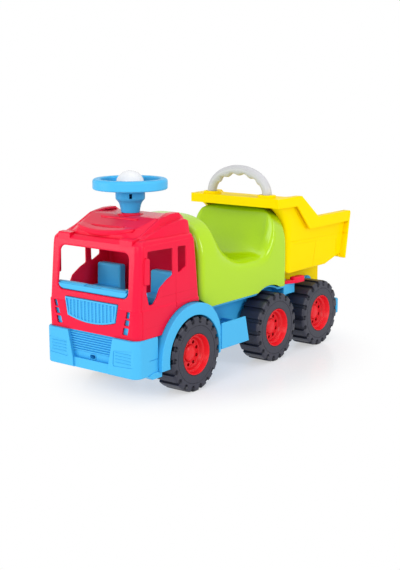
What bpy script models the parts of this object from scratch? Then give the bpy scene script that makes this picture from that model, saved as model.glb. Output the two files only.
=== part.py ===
"""Push-along tipper truck: a moulded ride-on toy with six free wheels and a tipping bed.

The truck faces -Y, +X is its left side and the floor is z = 0.
Lengths are millimetres, and MM turns them to metres.
"""

import math

import bmesh
import bpy
from mathutils import Matrix, Vector

MM = 0.001
GAP = 0.3
WALL = 3.5
WELD = 0.002

# Wheels and axles
TYRE_RADIUS = 80
TYRE_WIDTH = 57
TYRE_OUTER_X = 139
LUGS = 18
LUG_HALF_ANGLE = math.radians(6.5)
GROOVE_DEPTH = 5
RIM_RADIUS = 43.3
AXLE_RADIUS = 5
AXLE_Z = TYRE_RADIUS * math.cos(LUG_HALF_ANGLE)
AXLE_YS = {"front": -238, "middle": 61, "rear": 251}
WHEEL_X = TYRE_OUTER_X - TYRE_WIDTH / 2
HUB_FACE = 5.5
SIDES = {"left": 1, "right": -1}

# Chassis
FRAME_HALF_WIDTH = 78
FRAME_FRONT_Y = -368
FRAME_REAR_Y = 358
FRAME_BOTTOM_Z = 62
DECK_Z = 160
DECK_HALF_WIDTH = 110
DECK_TOP_Z = 164
DECK_Y = (-165, 177)
MIDDLE_HUMP_RADIUS = 94
AXLE_TUBE_RADIUS = 12
AXLE_BORE_RADIUS = 5.7
POCKET_Y = (186, 354)
BRACKET_Y = (130, 177)
BRACKET_BOTTOM_Z = 140

# Front mudguards, side steps and bumpers
ARCH_RADIUS = 82.5
MUDGUARD_RADIUS = 108
MUDGUARD_REAR_RADIUS = 88
MUDGUARD_OUTER_X = 136
MUDGUARD_BOTTOM_Z = 65
MUDGUARD_WALL = 2
STEP_Y = (-144.5, -50)
STEP_Z = (72, 129)
STEP_REAR_SLANT = 14
STEP_SHELF_Z = 100
BUMPER_FRONT_Y = -411
BUMPER_BACK_Y = -372
BUMPER_SIDE_Y = -346.5
BUMPER_HALF_WIDTH = 125.6
BUMPER_Z = (60, 137)
BUMPER_CORNER = 17
PANEL_DEPTH = 10
PANEL_BOTTOM_Z = 81
PANEL_HALF_WIDTHS = (49, 61)
PANEL_RIBS = 8
PANEL_RIBS_Z = (94, 134)
BUMPER_POCKETS_X = ((-114, -66), (-60, -16), (16, 60), (66, 114))
TOW_SLOT_HALF_WIDTH = 7
TOW_SLOT_Z = (82.5, 90.5)
REAR_BUMPER_HALF_WIDTH = 120
REAR_BUMPER_Z = (57, 94)
REAR_BUMPER_DEPTH = 15

# Cab
CAB_BOTTOM_Z = BUMPER_Z[1] + GAP
CAB_CORNER = 13
CAB_REAR_CORNER = 9
CAB_ARCH_RADIUS = 110
ROOF_Z = 366
ROOF_RIDGE_Y = -304
WINDSCREEN_Z = (217, 307)
WINDSCREEN_HALF_WIDTHS = (96, 93)
WINDSCREEN_CORNER = 13
GRILLE_Z = (166, 204.4)
GRILLE_HALF_WIDTHS = (65.5, 72)
GRILLE_BOW = 10
GRILLE_RIBS = 13
GRILLE_PLATE_HALF_WIDTH = 106
GRILLE_PLATE_Y = -399.4
GRILLE_PLATE_Z = (144, 205)
GRILLE_FACE_Y = -404
LAMP_SLOTS = ((98.5, 187, 4.5, 6), (95.5, 171, 4.5, 4.5), (90.5, 153, 5, 6.5))
DOOR_WINDOW = [(-371, 310), (-293, 308), (-293, 253), (-311, 246), (-334, 232)]
DOOR_WINDOW += [(-345, 213), (-355, 203), (-368, 203), (-375, 229)]
QUARTER_WINDOW = [(-278, 309), (-251, 308), (-250, 266), (-277, 254)]
WINDOW_CORNER = 4
CAB_FRONT_CUT_Y = (-430, -380)
ACROSS = (-200, 200)
SEAT_BACK_Y = -272
SEAT_BACK_THICKNESS = 19
CAB_SEAT_X = (47, 110)
CAB_SEAT_TOP_Z = 252

# Steering
STEERING_Y = -282
ROOF_BOSS_Z = 369
ROOF_BOSS_RADIUS = 23
SPIGOT_RADIUS = 11.8
COLLAR_TOP_Z = 412
COLLAR_RADIUS = 30.5
STEERING_RADIUS = 77.5
STEERING_RIM_Z = (417, 439)
STEERING_RIM_WIDTH = 16
SPOKES = 3
HORN_RADIUS = 30
HORN_CENTRE_Z = 425.5
HORN_BOSS_Z = 434
HORN_SPRING_TURNS = 5

# Ride-on seat
SEAT_HALF_WIDTH = 117
SEAT_Y = (-198, 130)
SEAT_BOTTOM_Z = DECK_TOP_Z + GAP
SEAT_DIP_Z = 243
SEAT_DIP_Y = -20
SEAT_FRONT_Z = 355
SEAT_FRONT_CREST_Y = -151
SEAT_REAR_Z = 347.5
SEAT_REAR_CREST_Y = 81
SEAT_STATIONS = [-190, -165, -151, -139, -127, -113, -95, -72, -45, -20, 4, 18]
SEAT_STATIONS += [32, 44, 54, 62, 68, 73, 77, 81, 92, 107, 122]
SEAT_END_ROUND = 7
SEAT_ARCH_STEPS = 14
SEAT_CREST_POWER = 4
SEAT_FRONT_POWER = 2.9
SEAT_END_POWER = 2.6
SEAT_SCREW_YS = {"front": -120, "rear": -40}

# Tipper
HINGE_Y = 287
HINGE_Z = 145
HINGE_PIN_RADIUS = 5
HINGE_HEAD_RADIUS = 14
BED_HALF_WIDTH = 114
BED_TAPER = 0.03
BED_FLOOR_Z = 188
BED_RIM_HALF_WIDTH = 125
BED_RIM_HEIGHT = 21
BED_TOP_Z = 370
BED_REAR_Z = 314
BED_FRONT_Y = 139
BED_REAR_Y = 411
CANOPY_FRONT_Y = 79
WELL_HALF_WIDTH = 70
WELL_Y = (193, 350)
WELL_BOTTOM_Z = 135
HANDLE_Y = 102
HANDLE_HALF_WIDTH = 78
HANDLE_FOOT_Z = 376.3
HANDLE_TOP_Z = 429
HANDLE_RADIUS = 11.7
HANDLE_GRIPS = 5
PAD_HALF_WIDTH = 26

# Tipper lock lever
LEVER_PIVOT = (100, 143)
LEVER_Z = DECK_TOP_Z + 0.6

COLOURS = {
    "red": (0.86, 0.02, 0.05),
    "blue": (0.06, 0.44, 0.84),
    "green": (0.46, 0.72, 0.03),
    "yellow": (1.0, 0.76, 0.0),
    "grey": (0.58, 0.58, 0.62),
    "white": (0.9, 0.9, 0.9),
    "black": (0.035, 0.033, 0.045),
    "steel": (0.55, 0.55, 0.57),
}


def look(name, colour):
    """A material of its own for one piece: moulded plastic, soft tyre plastic or steel."""
    material = bpy.data.materials.new(name)
    material.use_nodes = True
    shader = material.node_tree.nodes["Principled BSDF"]
    shader.inputs["Base Color"].default_value = (*COLOURS[colour], 1)
    shader.inputs["Roughness"].default_value = 0.5 if colour == "black" else 0.3
    shader.inputs["Metallic"].default_value = 1 if colour == "steel" else 0
    return material


def add(name, shape, colour, pivot=None, local=False):
    """The shape as a named object. A moving piece is parented to the empty on its joint axis."""
    mesh = bpy.data.meshes.new(name)
    shape.to_mesh(mesh)
    shape.free()
    if pivot is not None and not local:
        mesh.transform(Matrix.Translation(-pivot.location / MM))
    mesh.transform(Matrix.Scale(MM, 4))
    mesh.shade_smooth()
    mesh.set_sharp_from_angle(angle=math.radians(35))
    mesh.materials.append(look(name, colour))
    obj = bpy.data.objects.new(name, mesh)
    bpy.context.scene.collection.objects.link(obj)
    obj.parent = pivot
    return obj


def pivot_at(name, x, y, z):
    empty = bpy.data.objects.new(name, None)
    empty.location = Vector((x, y, z)) * MM
    bpy.context.scene.collection.objects.link(empty)
    return empty


def loft(rings, around=False):
    """Skin over rings of equal length: capped at both ends, or closed into a loop."""
    shape = bmesh.new()
    rows = [[shape.verts.new(point) for point in ring] for ring in rings]
    following = rows[1:] + rows[:1] if around else rows[1:]
    for row, after in zip(rows, following):
        for i in range(len(row)):
            j = (i + 1) % len(row)
            shape.faces.new((row[i], row[j], after[j], after[i]))
    if not around:
        shape.faces.new(rows[0])
        shape.faces.new(rows[-1])
    bmesh.ops.recalc_face_normals(shape, faces=shape.faces)
    return shape


def prism(outline, axis, low, high):
    """A flat outline pushed along one axis. The outline holds the other two coordinates in order."""
    place = {
        "x": lambda a, b, at: (at, a, b),
        "y": lambda a, b, at: (a, at, b),
        "z": lambda a, b, at: (a, b, at),
    }[axis]
    return loft([[place(a, b, at) for a, b in outline] for at in (low, high)])


def box(x, y, z):
    return prism([(x[0], y[0]), (x[1], y[0]), (x[1], y[1]), (x[0], y[1])], "z", *z)


def turned(profile, segments, axis, centre=(0, 0, 0)):
    """A closed profile of (along, radius) points swept round an axis through the centre."""
    shape = bmesh.new()
    rows = []
    for along, radius in profile:
        if radius == 0:
            rows.append([shape.verts.new(on_axis(axis, along, 0, 0, centre))] * segments)
            continue
        row = []
        for i in range(segments):
            angle = 2 * math.pi * (i + 0.5) / segments
            spot = on_axis(axis, along, radius * math.cos(angle), radius * math.sin(angle), centre)
            row.append(shape.verts.new(spot))
        rows.append(row)
    for row, after in zip(rows, rows[1:] + rows[:1]):
        for i in range(segments):
            j = (i + 1) % segments
            corners = list(dict.fromkeys((row[i], row[j], after[j], after[i])))
            if len(corners) > 2:
                shape.faces.new(corners)
    bmesh.ops.recalc_face_normals(shape, faces=shape.faces)
    return shape


def on_axis(axis, along, a, b, centre):
    local = (along, a, b) if axis == "x" else (a, b, along)
    return tuple(p + c for p, c in zip(local, centre))


def cylinder(axis, centre, radius, low, high, segments=16):
    return turned([(low, 0), (low, radius), (high, radius), (high, 0)], segments, axis, centre)


def arc(centre, radius, start, end, steps):
    """Points on a circle from one angle to another, in degrees."""
    points = []
    for i in range(steps + 1):
        angle = math.radians(start + (end - start) * i / steps)
        points.append((centre[0] + radius * math.cos(angle), centre[1] + radius * math.sin(angle)))
    return points


def rounded(corners, radius, steps=3):
    """The outline with each corner replaced by an arc of the given radius."""
    points = []
    count = len(corners)
    for i in range(count):
        corner = Vector(corners[i])
        before = (Vector(corners[i - 1]) - corner).normalized()
        after = (Vector(corners[(i + 1) % count]) - corner).normalized()
        half = before.angle(after) / 2
        centre = corner + (before + after).normalized() * (radius / math.sin(half))
        reach = radius / math.tan(half)
        first = (corner + before * reach - centre).normalized()
        last = (corner + after * reach - centre).normalized()
        for k in range(steps + 1):
            points.append(tuple(centre + first.slerp(last, k / steps) * radius))
    return points


def combined(shape, other, operation):
    """Boolean of two shapes, both used up."""
    objects = []
    for part in (shape, other):
        mesh = bpy.data.meshes.new("shape")
        part.to_mesh(mesh)
        part.free()
        obj = bpy.data.objects.new("shape", mesh)
        bpy.context.scene.collection.objects.link(obj)
        objects.append(obj)
    base, tool = objects
    modifier = base.modifiers.new("join", "BOOLEAN")
    modifier.operation = operation
    modifier.solver = "EXACT"
    modifier.object = tool
    graph = bpy.context.evaluated_depsgraph_get()
    result = bmesh.new()
    result.from_object(base, graph)
    bmesh.ops.remove_doubles(result, verts=result.verts, dist=WELD)
    for obj in objects:
        mesh = obj.data
        bpy.data.objects.remove(obj)
        bpy.data.meshes.remove(mesh)
    return result


def joined(shape, *others):
    for other in others:
        shape = combined(shape, other, "UNION")
    return shape


def cut(shape, *tools):
    for tool in tools:
        shape = combined(shape, tool, "DIFFERENCE")
    return shape


def tyre():
    """Tread lugs with a notch between each two that runs over the shoulder."""
    half = TYRE_WIDTH / 2
    bore = RIM_RADIUS + GAP
    pitch = 2 * math.pi / LUGS
    lug = [(half - 5, TYRE_RADIUS), (half, TYRE_RADIUS - 12)]
    notch = [(half - 5, TYRE_RADIUS - GROOVE_DEPTH), (half - 2, TYRE_RADIUS - 15)]
    rings = []
    for i in range(LUGS):
        middle = i * pitch - math.pi / 2
        columns = [(middle - LUG_HALF_ANGLE, lug), (middle + LUG_HALF_ANGLE, lug)]
        columns.append((middle + pitch / 2, notch))
        for angle, shoulder in columns:
            side = [(half - 1.5, bore)] + shoulder[::-1]
            profile = side + [(-x, radius) for x, radius in side[::-1]]
            rings.append([(x, r * math.cos(angle), r * math.sin(angle)) for x, r in profile])
    return loft(rings, around=True)


def rim():
    """Dished wheel centre: barrel, stepped disc and a hub that runs on the axle."""
    half = TYRE_WIDTH / 2
    bore = AXLE_RADIUS + 0.35
    profile = [
        (half, RIM_RADIUS),
        (half, RIM_RADIUS - 3),
        (15, 37),
        (15, 33.5),
        (9, 31),
        (9, 16.2),
        (HUB_FACE, 16.2),
        (HUB_FACE, bore),
        (1.5 - half, bore),
        (1.5 - half, 11),
        (1.5, 11),
        (1.5, 34.5),
        (2.5 - half, 39.5),
        (2.5 - half, RIM_RADIUS),
    ]
    return turned(profile, 16, "x")


def hub_cap():
    base = HUB_FACE + GAP
    profile = [(base, 15.6), (10, 15.2), (14, 9), (15.5, 0), (12, 0), (10, 9), (base, 12.6)]
    return turned(profile, 12, "x")


def push_nut(x):
    inner = AXLE_RADIUS + GAP
    return turned([(x, inner), (x, 9), (x + 2, 9), (x + 2, inner)], 10, "x")


def build_wheels():
    """Six wheels, each free to turn on a fixed steel axle and held by a push nut under its cap."""
    end = WHEEL_X + 9
    nut_x = WHEEL_X + HUB_FACE + GAP
    for row, y in AXLE_YS.items():
        centre = (0, y, AXLE_Z)
        add(f"{row}_axle", cylinder("x", centre, AXLE_RADIUS, -end, end, 12), "steel")
        for side, sign in SIDES.items():
            name = f"{row}_{side}"
            hub = pivot_at(f"{name}_wheel", sign * WHEEL_X, y, AXLE_Z)
            hub.rotation_euler.z = 0 if sign > 0 else math.pi
            add(f"{name}_tyre", tyre(), "black", hub, local=True)
            add(f"{name}_rim", rim(), "red", hub, local=True)
            add(f"{name}_hub_cap", hub_cap(), "red", hub, local=True)
            nut = push_nut(nut_x - WHEEL_X)
            bmesh.ops.rotate(nut, verts=nut.verts, matrix=Matrix.Rotation(hub.rotation_euler.z, 3, "Z"))
            bmesh.ops.translate(nut, verts=nut.verts, vec=(sign * WHEEL_X, y, AXLE_Z))
            add(f"{name}_push_nut", nut, "steel")


def chassis_frame():
    """Hollow beam with axle tubes, a deck humped over the middle wheels and a pocket for the bed's well."""
    ear = arc((HINGE_Y, HINGE_Z), DECK_Z - HINGE_Z, -35, 90, 5)
    outline = [
        (FRAME_FRONT_Y, 98),
        (FRAME_FRONT_Y + 78, FRAME_BOTTOM_Z),
        (FRAME_REAR_Y - 18, FRAME_BOTTOM_Z),
        (FRAME_REAR_Y, FRAME_BOTTOM_Z + 12),
        (FRAME_REAR_Y, 104),
        (FRAME_REAR_Y - 40, 106),
        *ear,
        (FRAME_FRONT_Y, DECK_Z),
    ]
    frame = prism(outline, "x", -FRAME_HALF_WIDTH, FRAME_HALF_WIDTH)
    inner = FRAME_HALF_WIDTH - 4
    bottom = FRAME_BOTTOM_Z + 4
    cavity = [
        (FRAME_FRONT_Y + 4, 102),
        (FRAME_FRONT_Y + 79, bottom),
        (POCKET_Y[0] - 4, bottom),
        (POCKET_Y[0] - 4, DECK_Z - 4),
        (FRAME_FRONT_Y + 4, DECK_Z - 4),
    ]
    drain = cylinder("z", (0, -100, 0), 7, FRAME_BOTTOM_Z - 5, bottom + 5, 8)
    pocket = box((-inner, inner), POCKET_Y, (bottom, DECK_Z + 60))
    frame = cut(frame, prism(cavity, "x", -inner, inner), pocket, drain)
    hump = (AXLE_YS["middle"], AXLE_Z)
    over = hump_arc(hump, MIDDLE_HUMP_RADIUS, DECK_TOP_Z)
    under = hump_arc(hump, MIDDLE_HUMP_RADIUS - 4, DECK_Z - 2)
    top = [(DECK_Y[0], DECK_TOP_Z), *over, (DECK_Y[1], DECK_TOP_Z)]
    low = [(DECK_Y[0], DECK_Z - 2), *under, (DECK_Y[1], DECK_Z - 2)]
    deck = prism(top + low[::-1], "x", -DECK_HALF_WIDTH, DECK_HALF_WIDTH)
    deck = cut(deck, box((-inner, inner), (POCKET_Y[0] - 30, POCKET_Y[1]), (DECK_Z, 220)))
    frame = joined(frame, deck)
    for sign in SIDES.values():
        reach = sorted((sign * (FRAME_HALF_WIDTH - 2), sign * DECK_HALF_WIDTH))
        frame = joined(frame, box(reach, BRACKET_Y, (BRACKET_BOTTOM_Z, DECK_Z + 1)))
    tube_end = WHEEL_X - TYRE_WIDTH / 2 + 0.9
    for y in AXLE_YS.values():
        centre = (0, y, AXLE_Z)
        frame = joined(frame, cylinder("x", centre, AXLE_TUBE_RADIUS, -tube_end, tube_end, 12))
        frame = cut(frame, cylinder("x", centre, AXLE_BORE_RADIUS, -100, 100, 12))
    pin_hole = cylinder("x", (0, HINGE_Y, HINGE_Z), HINGE_PIN_RADIUS + 0.4, -100, 100, 12)
    lever_hole = cylinder("z", (*LEVER_PIVOT, 0), 3.4, 143, 180, 10)
    holes = [cylinder("z", (0, y, 0), 2.7, 150, 175, 8) for y in SEAT_SCREW_YS.values()]
    return cut(frame, pin_hole, lever_hole, *holes)


def hump_arc(centre, radius, floor_z):
    """The part of a circle above a level, from front to rear."""
    low = math.degrees(math.asin((floor_z - centre[1]) / radius))
    return arc(centre, radius, 180 - low, low, 8)


def mudguard_outline(inset):
    """Arch band round the front wheel: even in front and over the top, narrowing down its rear leg."""
    centre = (AXLE_YS["front"], AXLE_Z)
    low = MUDGUARD_BOTTOM_Z - AXLE_Z + inset
    outer = []
    steps = 16
    first = 180 - math.degrees(math.asin(low / (MUDGUARD_RADIUS - inset)))
    last = math.degrees(math.asin(low / (MUDGUARD_REAR_RADIUS - inset)))
    for i in range(steps + 1):
        angle = first + (last - first) * i / steps
        narrowing = min(1, max(0, (60 - angle) / (60 - last)))
        radius = MUDGUARD_RADIUS + (MUDGUARD_REAR_RADIUS - MUDGUARD_RADIUS) * narrowing - inset
        outer.extend(arc(centre, radius, angle, angle, 1)[:1])
    arch = ARCH_RADIUS + inset
    dip = math.degrees(math.asin(low / arch))
    return outer + arc(centre, arch, dip, 180 - dip, steps)


def mudguard(sign):
    """Hollow wheel housing, open towards the frame."""
    inner = FRAME_HALF_WIDTH + GAP
    reach = sorted((sign * inner, sign * MUDGUARD_OUTER_X))
    hollow = sorted((sign * (inner - 5), sign * (MUDGUARD_OUTER_X - WALL)))
    shell = prism(mudguard_outline(0), "x", *reach)
    return cut(shell, prism(mudguard_outline(MUDGUARD_WALL), "x", *hollow))


def side_step(sign):
    """Foot step: an outer plate and a ribbed shelf back to the frame."""
    front, rear = STEP_Y
    bottom, top = STEP_Z
    plate = [(front, bottom), (rear, bottom), (rear - STEP_REAR_SLANT, top), (front, top)]
    outer = sorted((sign * (TYRE_OUTER_X - WALL), sign * TYRE_OUTER_X))
    across = sorted((sign * (FRAME_HALF_WIDTH + GAP), sign * (TYRE_OUTER_X - 1)))
    step = prism(plate, "x", *outer)
    shelf = box(across, (front + 4, rear - 12), (STEP_SHELF_Z, STEP_SHELF_Z + 4))
    ribs = [box(across, (y, y + 4), (STEP_Z[0] + 6, 118)) for y in (front + 8, (front + rear) / 2, rear - 22)]
    return joined(step, shelf, *ribs)


def front_bumper():
    """Wrapping bumper with a ribbed centre panel, a tow slot and pockets behind."""
    half = BUMPER_HALF_WIDTH
    corner = BUMPER_FRONT_Y + BUMPER_CORNER
    right = arc((half - BUMPER_CORNER, corner), BUMPER_CORNER, -90, 0, 5)
    left = [(-x, y) for x, y in right[::-1]]
    wing = half - 6
    plan = left + right
    plan += [(half, BUMPER_SIDE_Y), (wing, BUMPER_SIDE_Y), (wing, BUMPER_BACK_Y)]
    plan += [(-wing, BUMPER_BACK_Y), (-wing, BUMPER_SIDE_Y), (-half, BUMPER_SIDE_Y)]
    bumper = prism(plan, "z", *BUMPER_Z)
    low, high = PANEL_HALF_WIDTHS
    top = BUMPER_Z[1]
    panel = [(-low, PANEL_BOTTOM_Z), (low, PANEL_BOTTOM_Z), (high, top - 1), (high + 0.5, top + 5)]
    panel += [(-high - 0.5, top + 5), (-high, top - 1)]
    bumper = cut(bumper, prism(panel, "y", BUMPER_FRONT_Y - 5, BUMPER_FRONT_Y + PANEL_DEPTH))
    first, last = PANEL_RIBS_Z
    pitch = (last - first) / PANEL_RIBS
    depth = BUMPER_FRONT_Y + PANEL_DEPTH
    for i in range(PANEL_RIBS):
        z = first + i * pitch
        width = low + (high - low) * (z - PANEL_BOTTOM_Z) / (top - PANEL_BOTTOM_Z) + 1
        bumper = joined(bumper, box((-width, width), (depth - 3, depth + 1), (z, z + pitch * 0.45)))
    reach = TOW_SLOT_HALF_WIDTH
    slot_low, slot_high = TOW_SLOT_Z
    slot = rounded([(-reach, slot_low), (reach, slot_low), (reach, slot_high), (-reach, slot_high)], 3.5)
    bumper = cut(bumper, prism(slot, "y", BUMPER_FRONT_Y - 5, BUMPER_BACK_Y + 5))
    for x in BUMPER_POCKETS_X:
        pocket = box(x, (depth + 5, BUMPER_BACK_Y + 5), (BUMPER_Z[0] + 4, top - 4))
        bumper = cut(bumper, pocket)
    return bumper


def rear_bumper():
    front = FRAME_REAR_Y + GAP
    half = REAR_BUMPER_HALF_WIDTH
    plan = [(-half, front), (half, front), (half, front + 9), (half - 6, front + REAR_BUMPER_DEPTH)]
    plan += [(-half + 6, front + REAR_BUMPER_DEPTH), (-half, front + 9)]
    bar = prism(plan, "z", *REAR_BUMPER_Z)
    for sign in SIDES.values():
        lamp = sorted((sign * (half - 34), sign * (half - 8)))
        bar = cut(bar, box(lamp, (front + 10, front + 30), (REAR_BUMPER_Z[0] + 8, REAR_BUMPER_Z[1] - 8)))
    return bar


def cab_ring(level, inset):
    """One level of the cab, wider or narrower at its front than at its rear, with rounded corners."""
    z, front, rear, front_half, rear_half = level
    radius = CAB_CORNER - inset
    tight = CAB_REAR_CORNER - inset
    front_half -= inset
    rear_half -= inset
    front += inset
    rear -= inset
    if z > WINDSCREEN_Z[1]:
        z -= inset
    ring = arc((front_half - radius, front + radius), radius, -90, 0, 4)
    ring += arc((rear_half - tight, rear - tight), tight, 0, 90, 2)
    ring += arc((-rear_half + tight, rear - tight), tight, 90, 180, 2)
    ring += arc((-front_half + radius, front + radius), radius, 180, 270, 4)
    return [(x, y, z) for x, y in ring]


def cab_body(inset):
    """Solid of the cab: body below a belt line, slanted cabin, gutter and a fairing that widens to the rear."""
    levels = [
        (CAB_BOTTOM_Z - inset * 3, -404, -204, 123, 123),
        (194, -405.5, -205.5, 123.5, 123.5),
        (197, -404, -206.5, 122, 122),
        (307, -394, -218, 121.5, 121.5),
        (325, -391.5, -220, 119.5, 119.5),
        (330, -387, -221, 114, 116),
        (332, -380, -221.5, 108, 113),
        (342, -375, -222, 82, 110),
        (ROOF_Z, ROOF_RIDGE_Y, -227, 90, 106),
    ]
    return loft([cab_ring(level, inset) for level in levels])


def cab_shell():
    """Red cab: hollow, open below, with a stepped roof, window openings and the front wheel arches."""
    shell = cab_body(0)
    fairing = [(-292, 360), (-292, 363), (-264, 371), (-238, 372), (-230, 366.5), (-230, 360)]
    block = [(-391, 320), (-391, 331), (-380, 333.5), (-370, 331), (-370, 320)]
    for sign in SIDES.values():
        crest = sorted((sign * 76, sign * 98))
        visor = sorted((sign * 69, sign * 99))
        shell = joined(shell, prism(fairing, "x", *crest), prism(block, "x", *visor))
    boss = cylinder("z", (0, STEERING_Y, 0), ROOF_BOSS_RADIUS, ROOF_Z - 3, ROOF_BOSS_Z)
    shell = cut(joined(shell, boss), cab_body(WALL))
    low, high = WINDSCREEN_HALF_WIDTHS
    foot, head = WINDSCREEN_Z
    screen = [(-low, foot), (low, foot), (high, head), (-high, head)]
    shell = cut(
        shell,
        prism(rounded(screen, WINDSCREEN_CORNER), "y", *CAB_FRONT_CUT_Y),
        prism(rounded(DOOR_WINDOW, WINDOW_CORNER, 2), "x", *ACROSS),
        prism(rounded(QUARTER_WINDOW, WINDOW_CORNER, 2), "x", *ACROSS),
        prism(grille_outline(0), "y", *CAB_FRONT_CUT_Y),
        cylinder("x", (0, AXLE_YS["front"], AXLE_Z), CAB_ARCH_RADIUS, *ACROSS, 40),
        cylinder("z", (0, STEERING_Y, 0), SPIGOT_RADIUS + 0.6, ROOF_Z - 30, ROOF_Z + 30),
    )
    for sign in SIDES.values():
        for x, z, wide, tall in LAMP_SLOTS:
            reach = sorted((sign * (x - wide), sign * (x + wide)))
            shell = cut(shell, box(reach, CAB_FRONT_CUT_Y, (z - tall, z + tall)))
    return shell


def grille_outline(inset):
    """Trapezoid with its lower edge bowed down."""
    bottom, top = GRILLE_Z
    low, high = GRILLE_HALF_WIDTHS
    low -= inset
    high -= inset
    edge = []
    for i in range(7):
        across = i / 3 - 1
        edge.append((across * low, bottom + inset - GRILLE_BOW * (1 - across**2)))
    return edge + [(high, top - inset), (-high, top - inset)]


def grille_panel():
    """Ribbed grille insert on a plate that backs the lamp slots."""
    half = GRILLE_PLATE_HALF_WIDTH
    panel = box((-half, half), (GRILLE_PLATE_Y, GRILLE_PLATE_Y + 3), GRILLE_PLATE_Z)
    panel = joined(panel, prism(grille_outline(0.5), "y", GRILLE_FACE_Y, GRILLE_PLATE_Y + 1))
    pitch = 2 * (GRILLE_HALF_WIDTHS[0] - 6) / (GRILLE_RIBS - 1)
    depth = (GRILLE_FACE_Y - 2.5, GRILLE_FACE_Y + 2)
    for i in range(GRILLE_RIBS):
        x = (i - (GRILLE_RIBS - 1) / 2) * pitch
        panel = joined(panel, box((x - 1.6, x + 1.6), depth, (GRILLE_Z[0] + 1, GRILLE_Z[1] - 5)))
    return panel


def cab_interior():
    """Floor, front bulkhead and a dashboard whose lip fills the foot of the windscreen."""
    floor_z = DECK_Z + GAP
    floor = box((-72, 72), (-366, -210), (floor_z, floor_z + 4))
    bulkhead = box((-72, 72), (-366, -361), (floor_z, 220))
    dash = prism([(-396, 214), (-396, 229), (-384, 231), (-352, 222), (-360, 212)], "x", -106, 106)
    right = [(80, 218.5), (88, 220.5), (93, 226), (94, 229.5)]
    lip = prism(right + [(-x, z) for x, z in right[::-1]], "y", -401.5, -394)
    return joined(floor, bulkhead, dash, lip)


def cab_seat(sign):
    """Moulded seat on a narrow pedestal between the wheel housings."""
    x = sorted(sign * edge for edge in CAB_SEAT_X)
    foot = sorted((sign * CAB_SEAT_X[0], sign * 71))
    base = DECK_Z + GAP + 4 + GAP
    front = SEAT_BACK_Y
    rear = front + SEAT_BACK_THICKNESS
    cushion = [(-316, 191), (front + 5, 191), (front + 5, 205), (-312, 207)]
    back = [(front, 191), (rear - 3, 191), (rear, CAB_SEAT_TOP_Z), (front + 3, CAB_SEAT_TOP_Z)]
    pedestal = box(foot, (-308, rear - 7), (base, 194))
    return joined(prism(cushion, "x", *x), prism(back, "x", *x), pedestal)


def seat_top(y):
    """Height of the saddle's middle line: a front hump, a deep dip and a rear hump."""
    if y < SEAT_DIP_Y:
        share = (SEAT_DIP_Y - y) / (SEAT_DIP_Y - SEAT_FRONT_CREST_Y)
        rise = (SEAT_FRONT_Z - SEAT_DIP_Z) * min(1, share**2.2)
    else:
        share = (y - SEAT_DIP_Y) / (SEAT_REAR_CREST_Y - SEAT_DIP_Y)
        rise = (SEAT_REAR_Z - SEAT_DIP_Z) * min(1, share**5)
    return SEAT_DIP_Z + rise


def seat_floor(y):
    """Underside of the saddle, arched over the front and middle wheel housings."""
    floor = SEAT_BOTTOM_Z
    for axle, radius in (("front", MUDGUARD_RADIUS + 4), ("middle", MIDDLE_HUMP_RADIUS + 2)):
        across = y - AXLE_YS[axle]
        if abs(across) < radius:
            floor = max(floor, AXLE_Z + math.sqrt(radius**2 - across**2))
    return floor


def seat_power(y):
    """Squareness of the arch: squarest at the rear crest."""
    if y < SEAT_DIP_Y:
        return SEAT_FRONT_POWER
    if y < SEAT_REAR_CREST_Y:
        return SEAT_CREST_POWER
    share = (y - SEAT_REAR_CREST_Y) / (SEAT_Y[1] - SEAT_REAR_CREST_Y)
    return SEAT_CREST_POWER + (SEAT_END_POWER - SEAT_CREST_POWER) * share


def seat_ring(y, inset, end_round):
    """One cross-section: straight sides below, and a broad arch above."""
    half = SEAT_HALF_WIDTH - inset - end_round
    top = seat_top(y) - inset - end_round
    shoulder = top - 40 - 80 * (seat_top(y) - SEAT_DIP_Z) / (SEAT_FRONT_Z - SEAT_DIP_Z)
    bottom = seat_floor(y) + inset
    ring = [(-half, y, bottom)]
    power = 2 / seat_power(y)
    for i in range(SEAT_ARCH_STEPS + 1):
        angle = math.pi * (1 - i / SEAT_ARCH_STEPS)
        across = math.copysign(abs(math.cos(angle)) ** power, math.cos(angle))
        ring.append((half * across, y, shoulder + (top - shoulder) * math.sin(angle) ** power))
    return ring + [(half, y, bottom)]


def seat_body(inset):
    front, rear = SEAT_Y
    ends = [(front + inset, SEAT_END_ROUND), (rear - inset, SEAT_END_ROUND)]
    places = ends[:1] + [(y, 0) for y in SEAT_STATIONS] + ends[1:]
    return loft([seat_ring(y, inset, end_round) for y, end_round in places])


def seat_saddle():
    """Hollow moulded saddle with a drain hole and screw bosses in its floor."""
    saddle = cut(seat_body(0), seat_body(WALL))
    for y in SEAT_SCREW_YS.values():
        boss = cylinder("z", (0, y, 0), 7, SEAT_BOTTOM_Z + 1, SEAT_BOTTOM_Z + 20, 10)
        hole = cylinder("z", (0, y, 0), 2.6, SEAT_BOTTOM_Z - 5, SEAT_BOTTOM_Z + 15, 8)
        saddle = cut(joined(saddle, boss), hole)
    drain = cylinder("z", (40, -80, 0), 5, SEAT_BOTTOM_Z - 5, SEAT_BOTTOM_Z + 10, 8)
    return cut(saddle, drain)


def screw(centre, head_z, tip_z):
    """Pan-head screw pointing up from below."""
    profile = [(head_z, 0), (head_z, 4.5), (head_z + 3, 4.5), (head_z + 3, 2), (tip_z, 2), (tip_z, 0)]
    return turned(profile, 8, "z", (*centre, 0))


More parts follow.
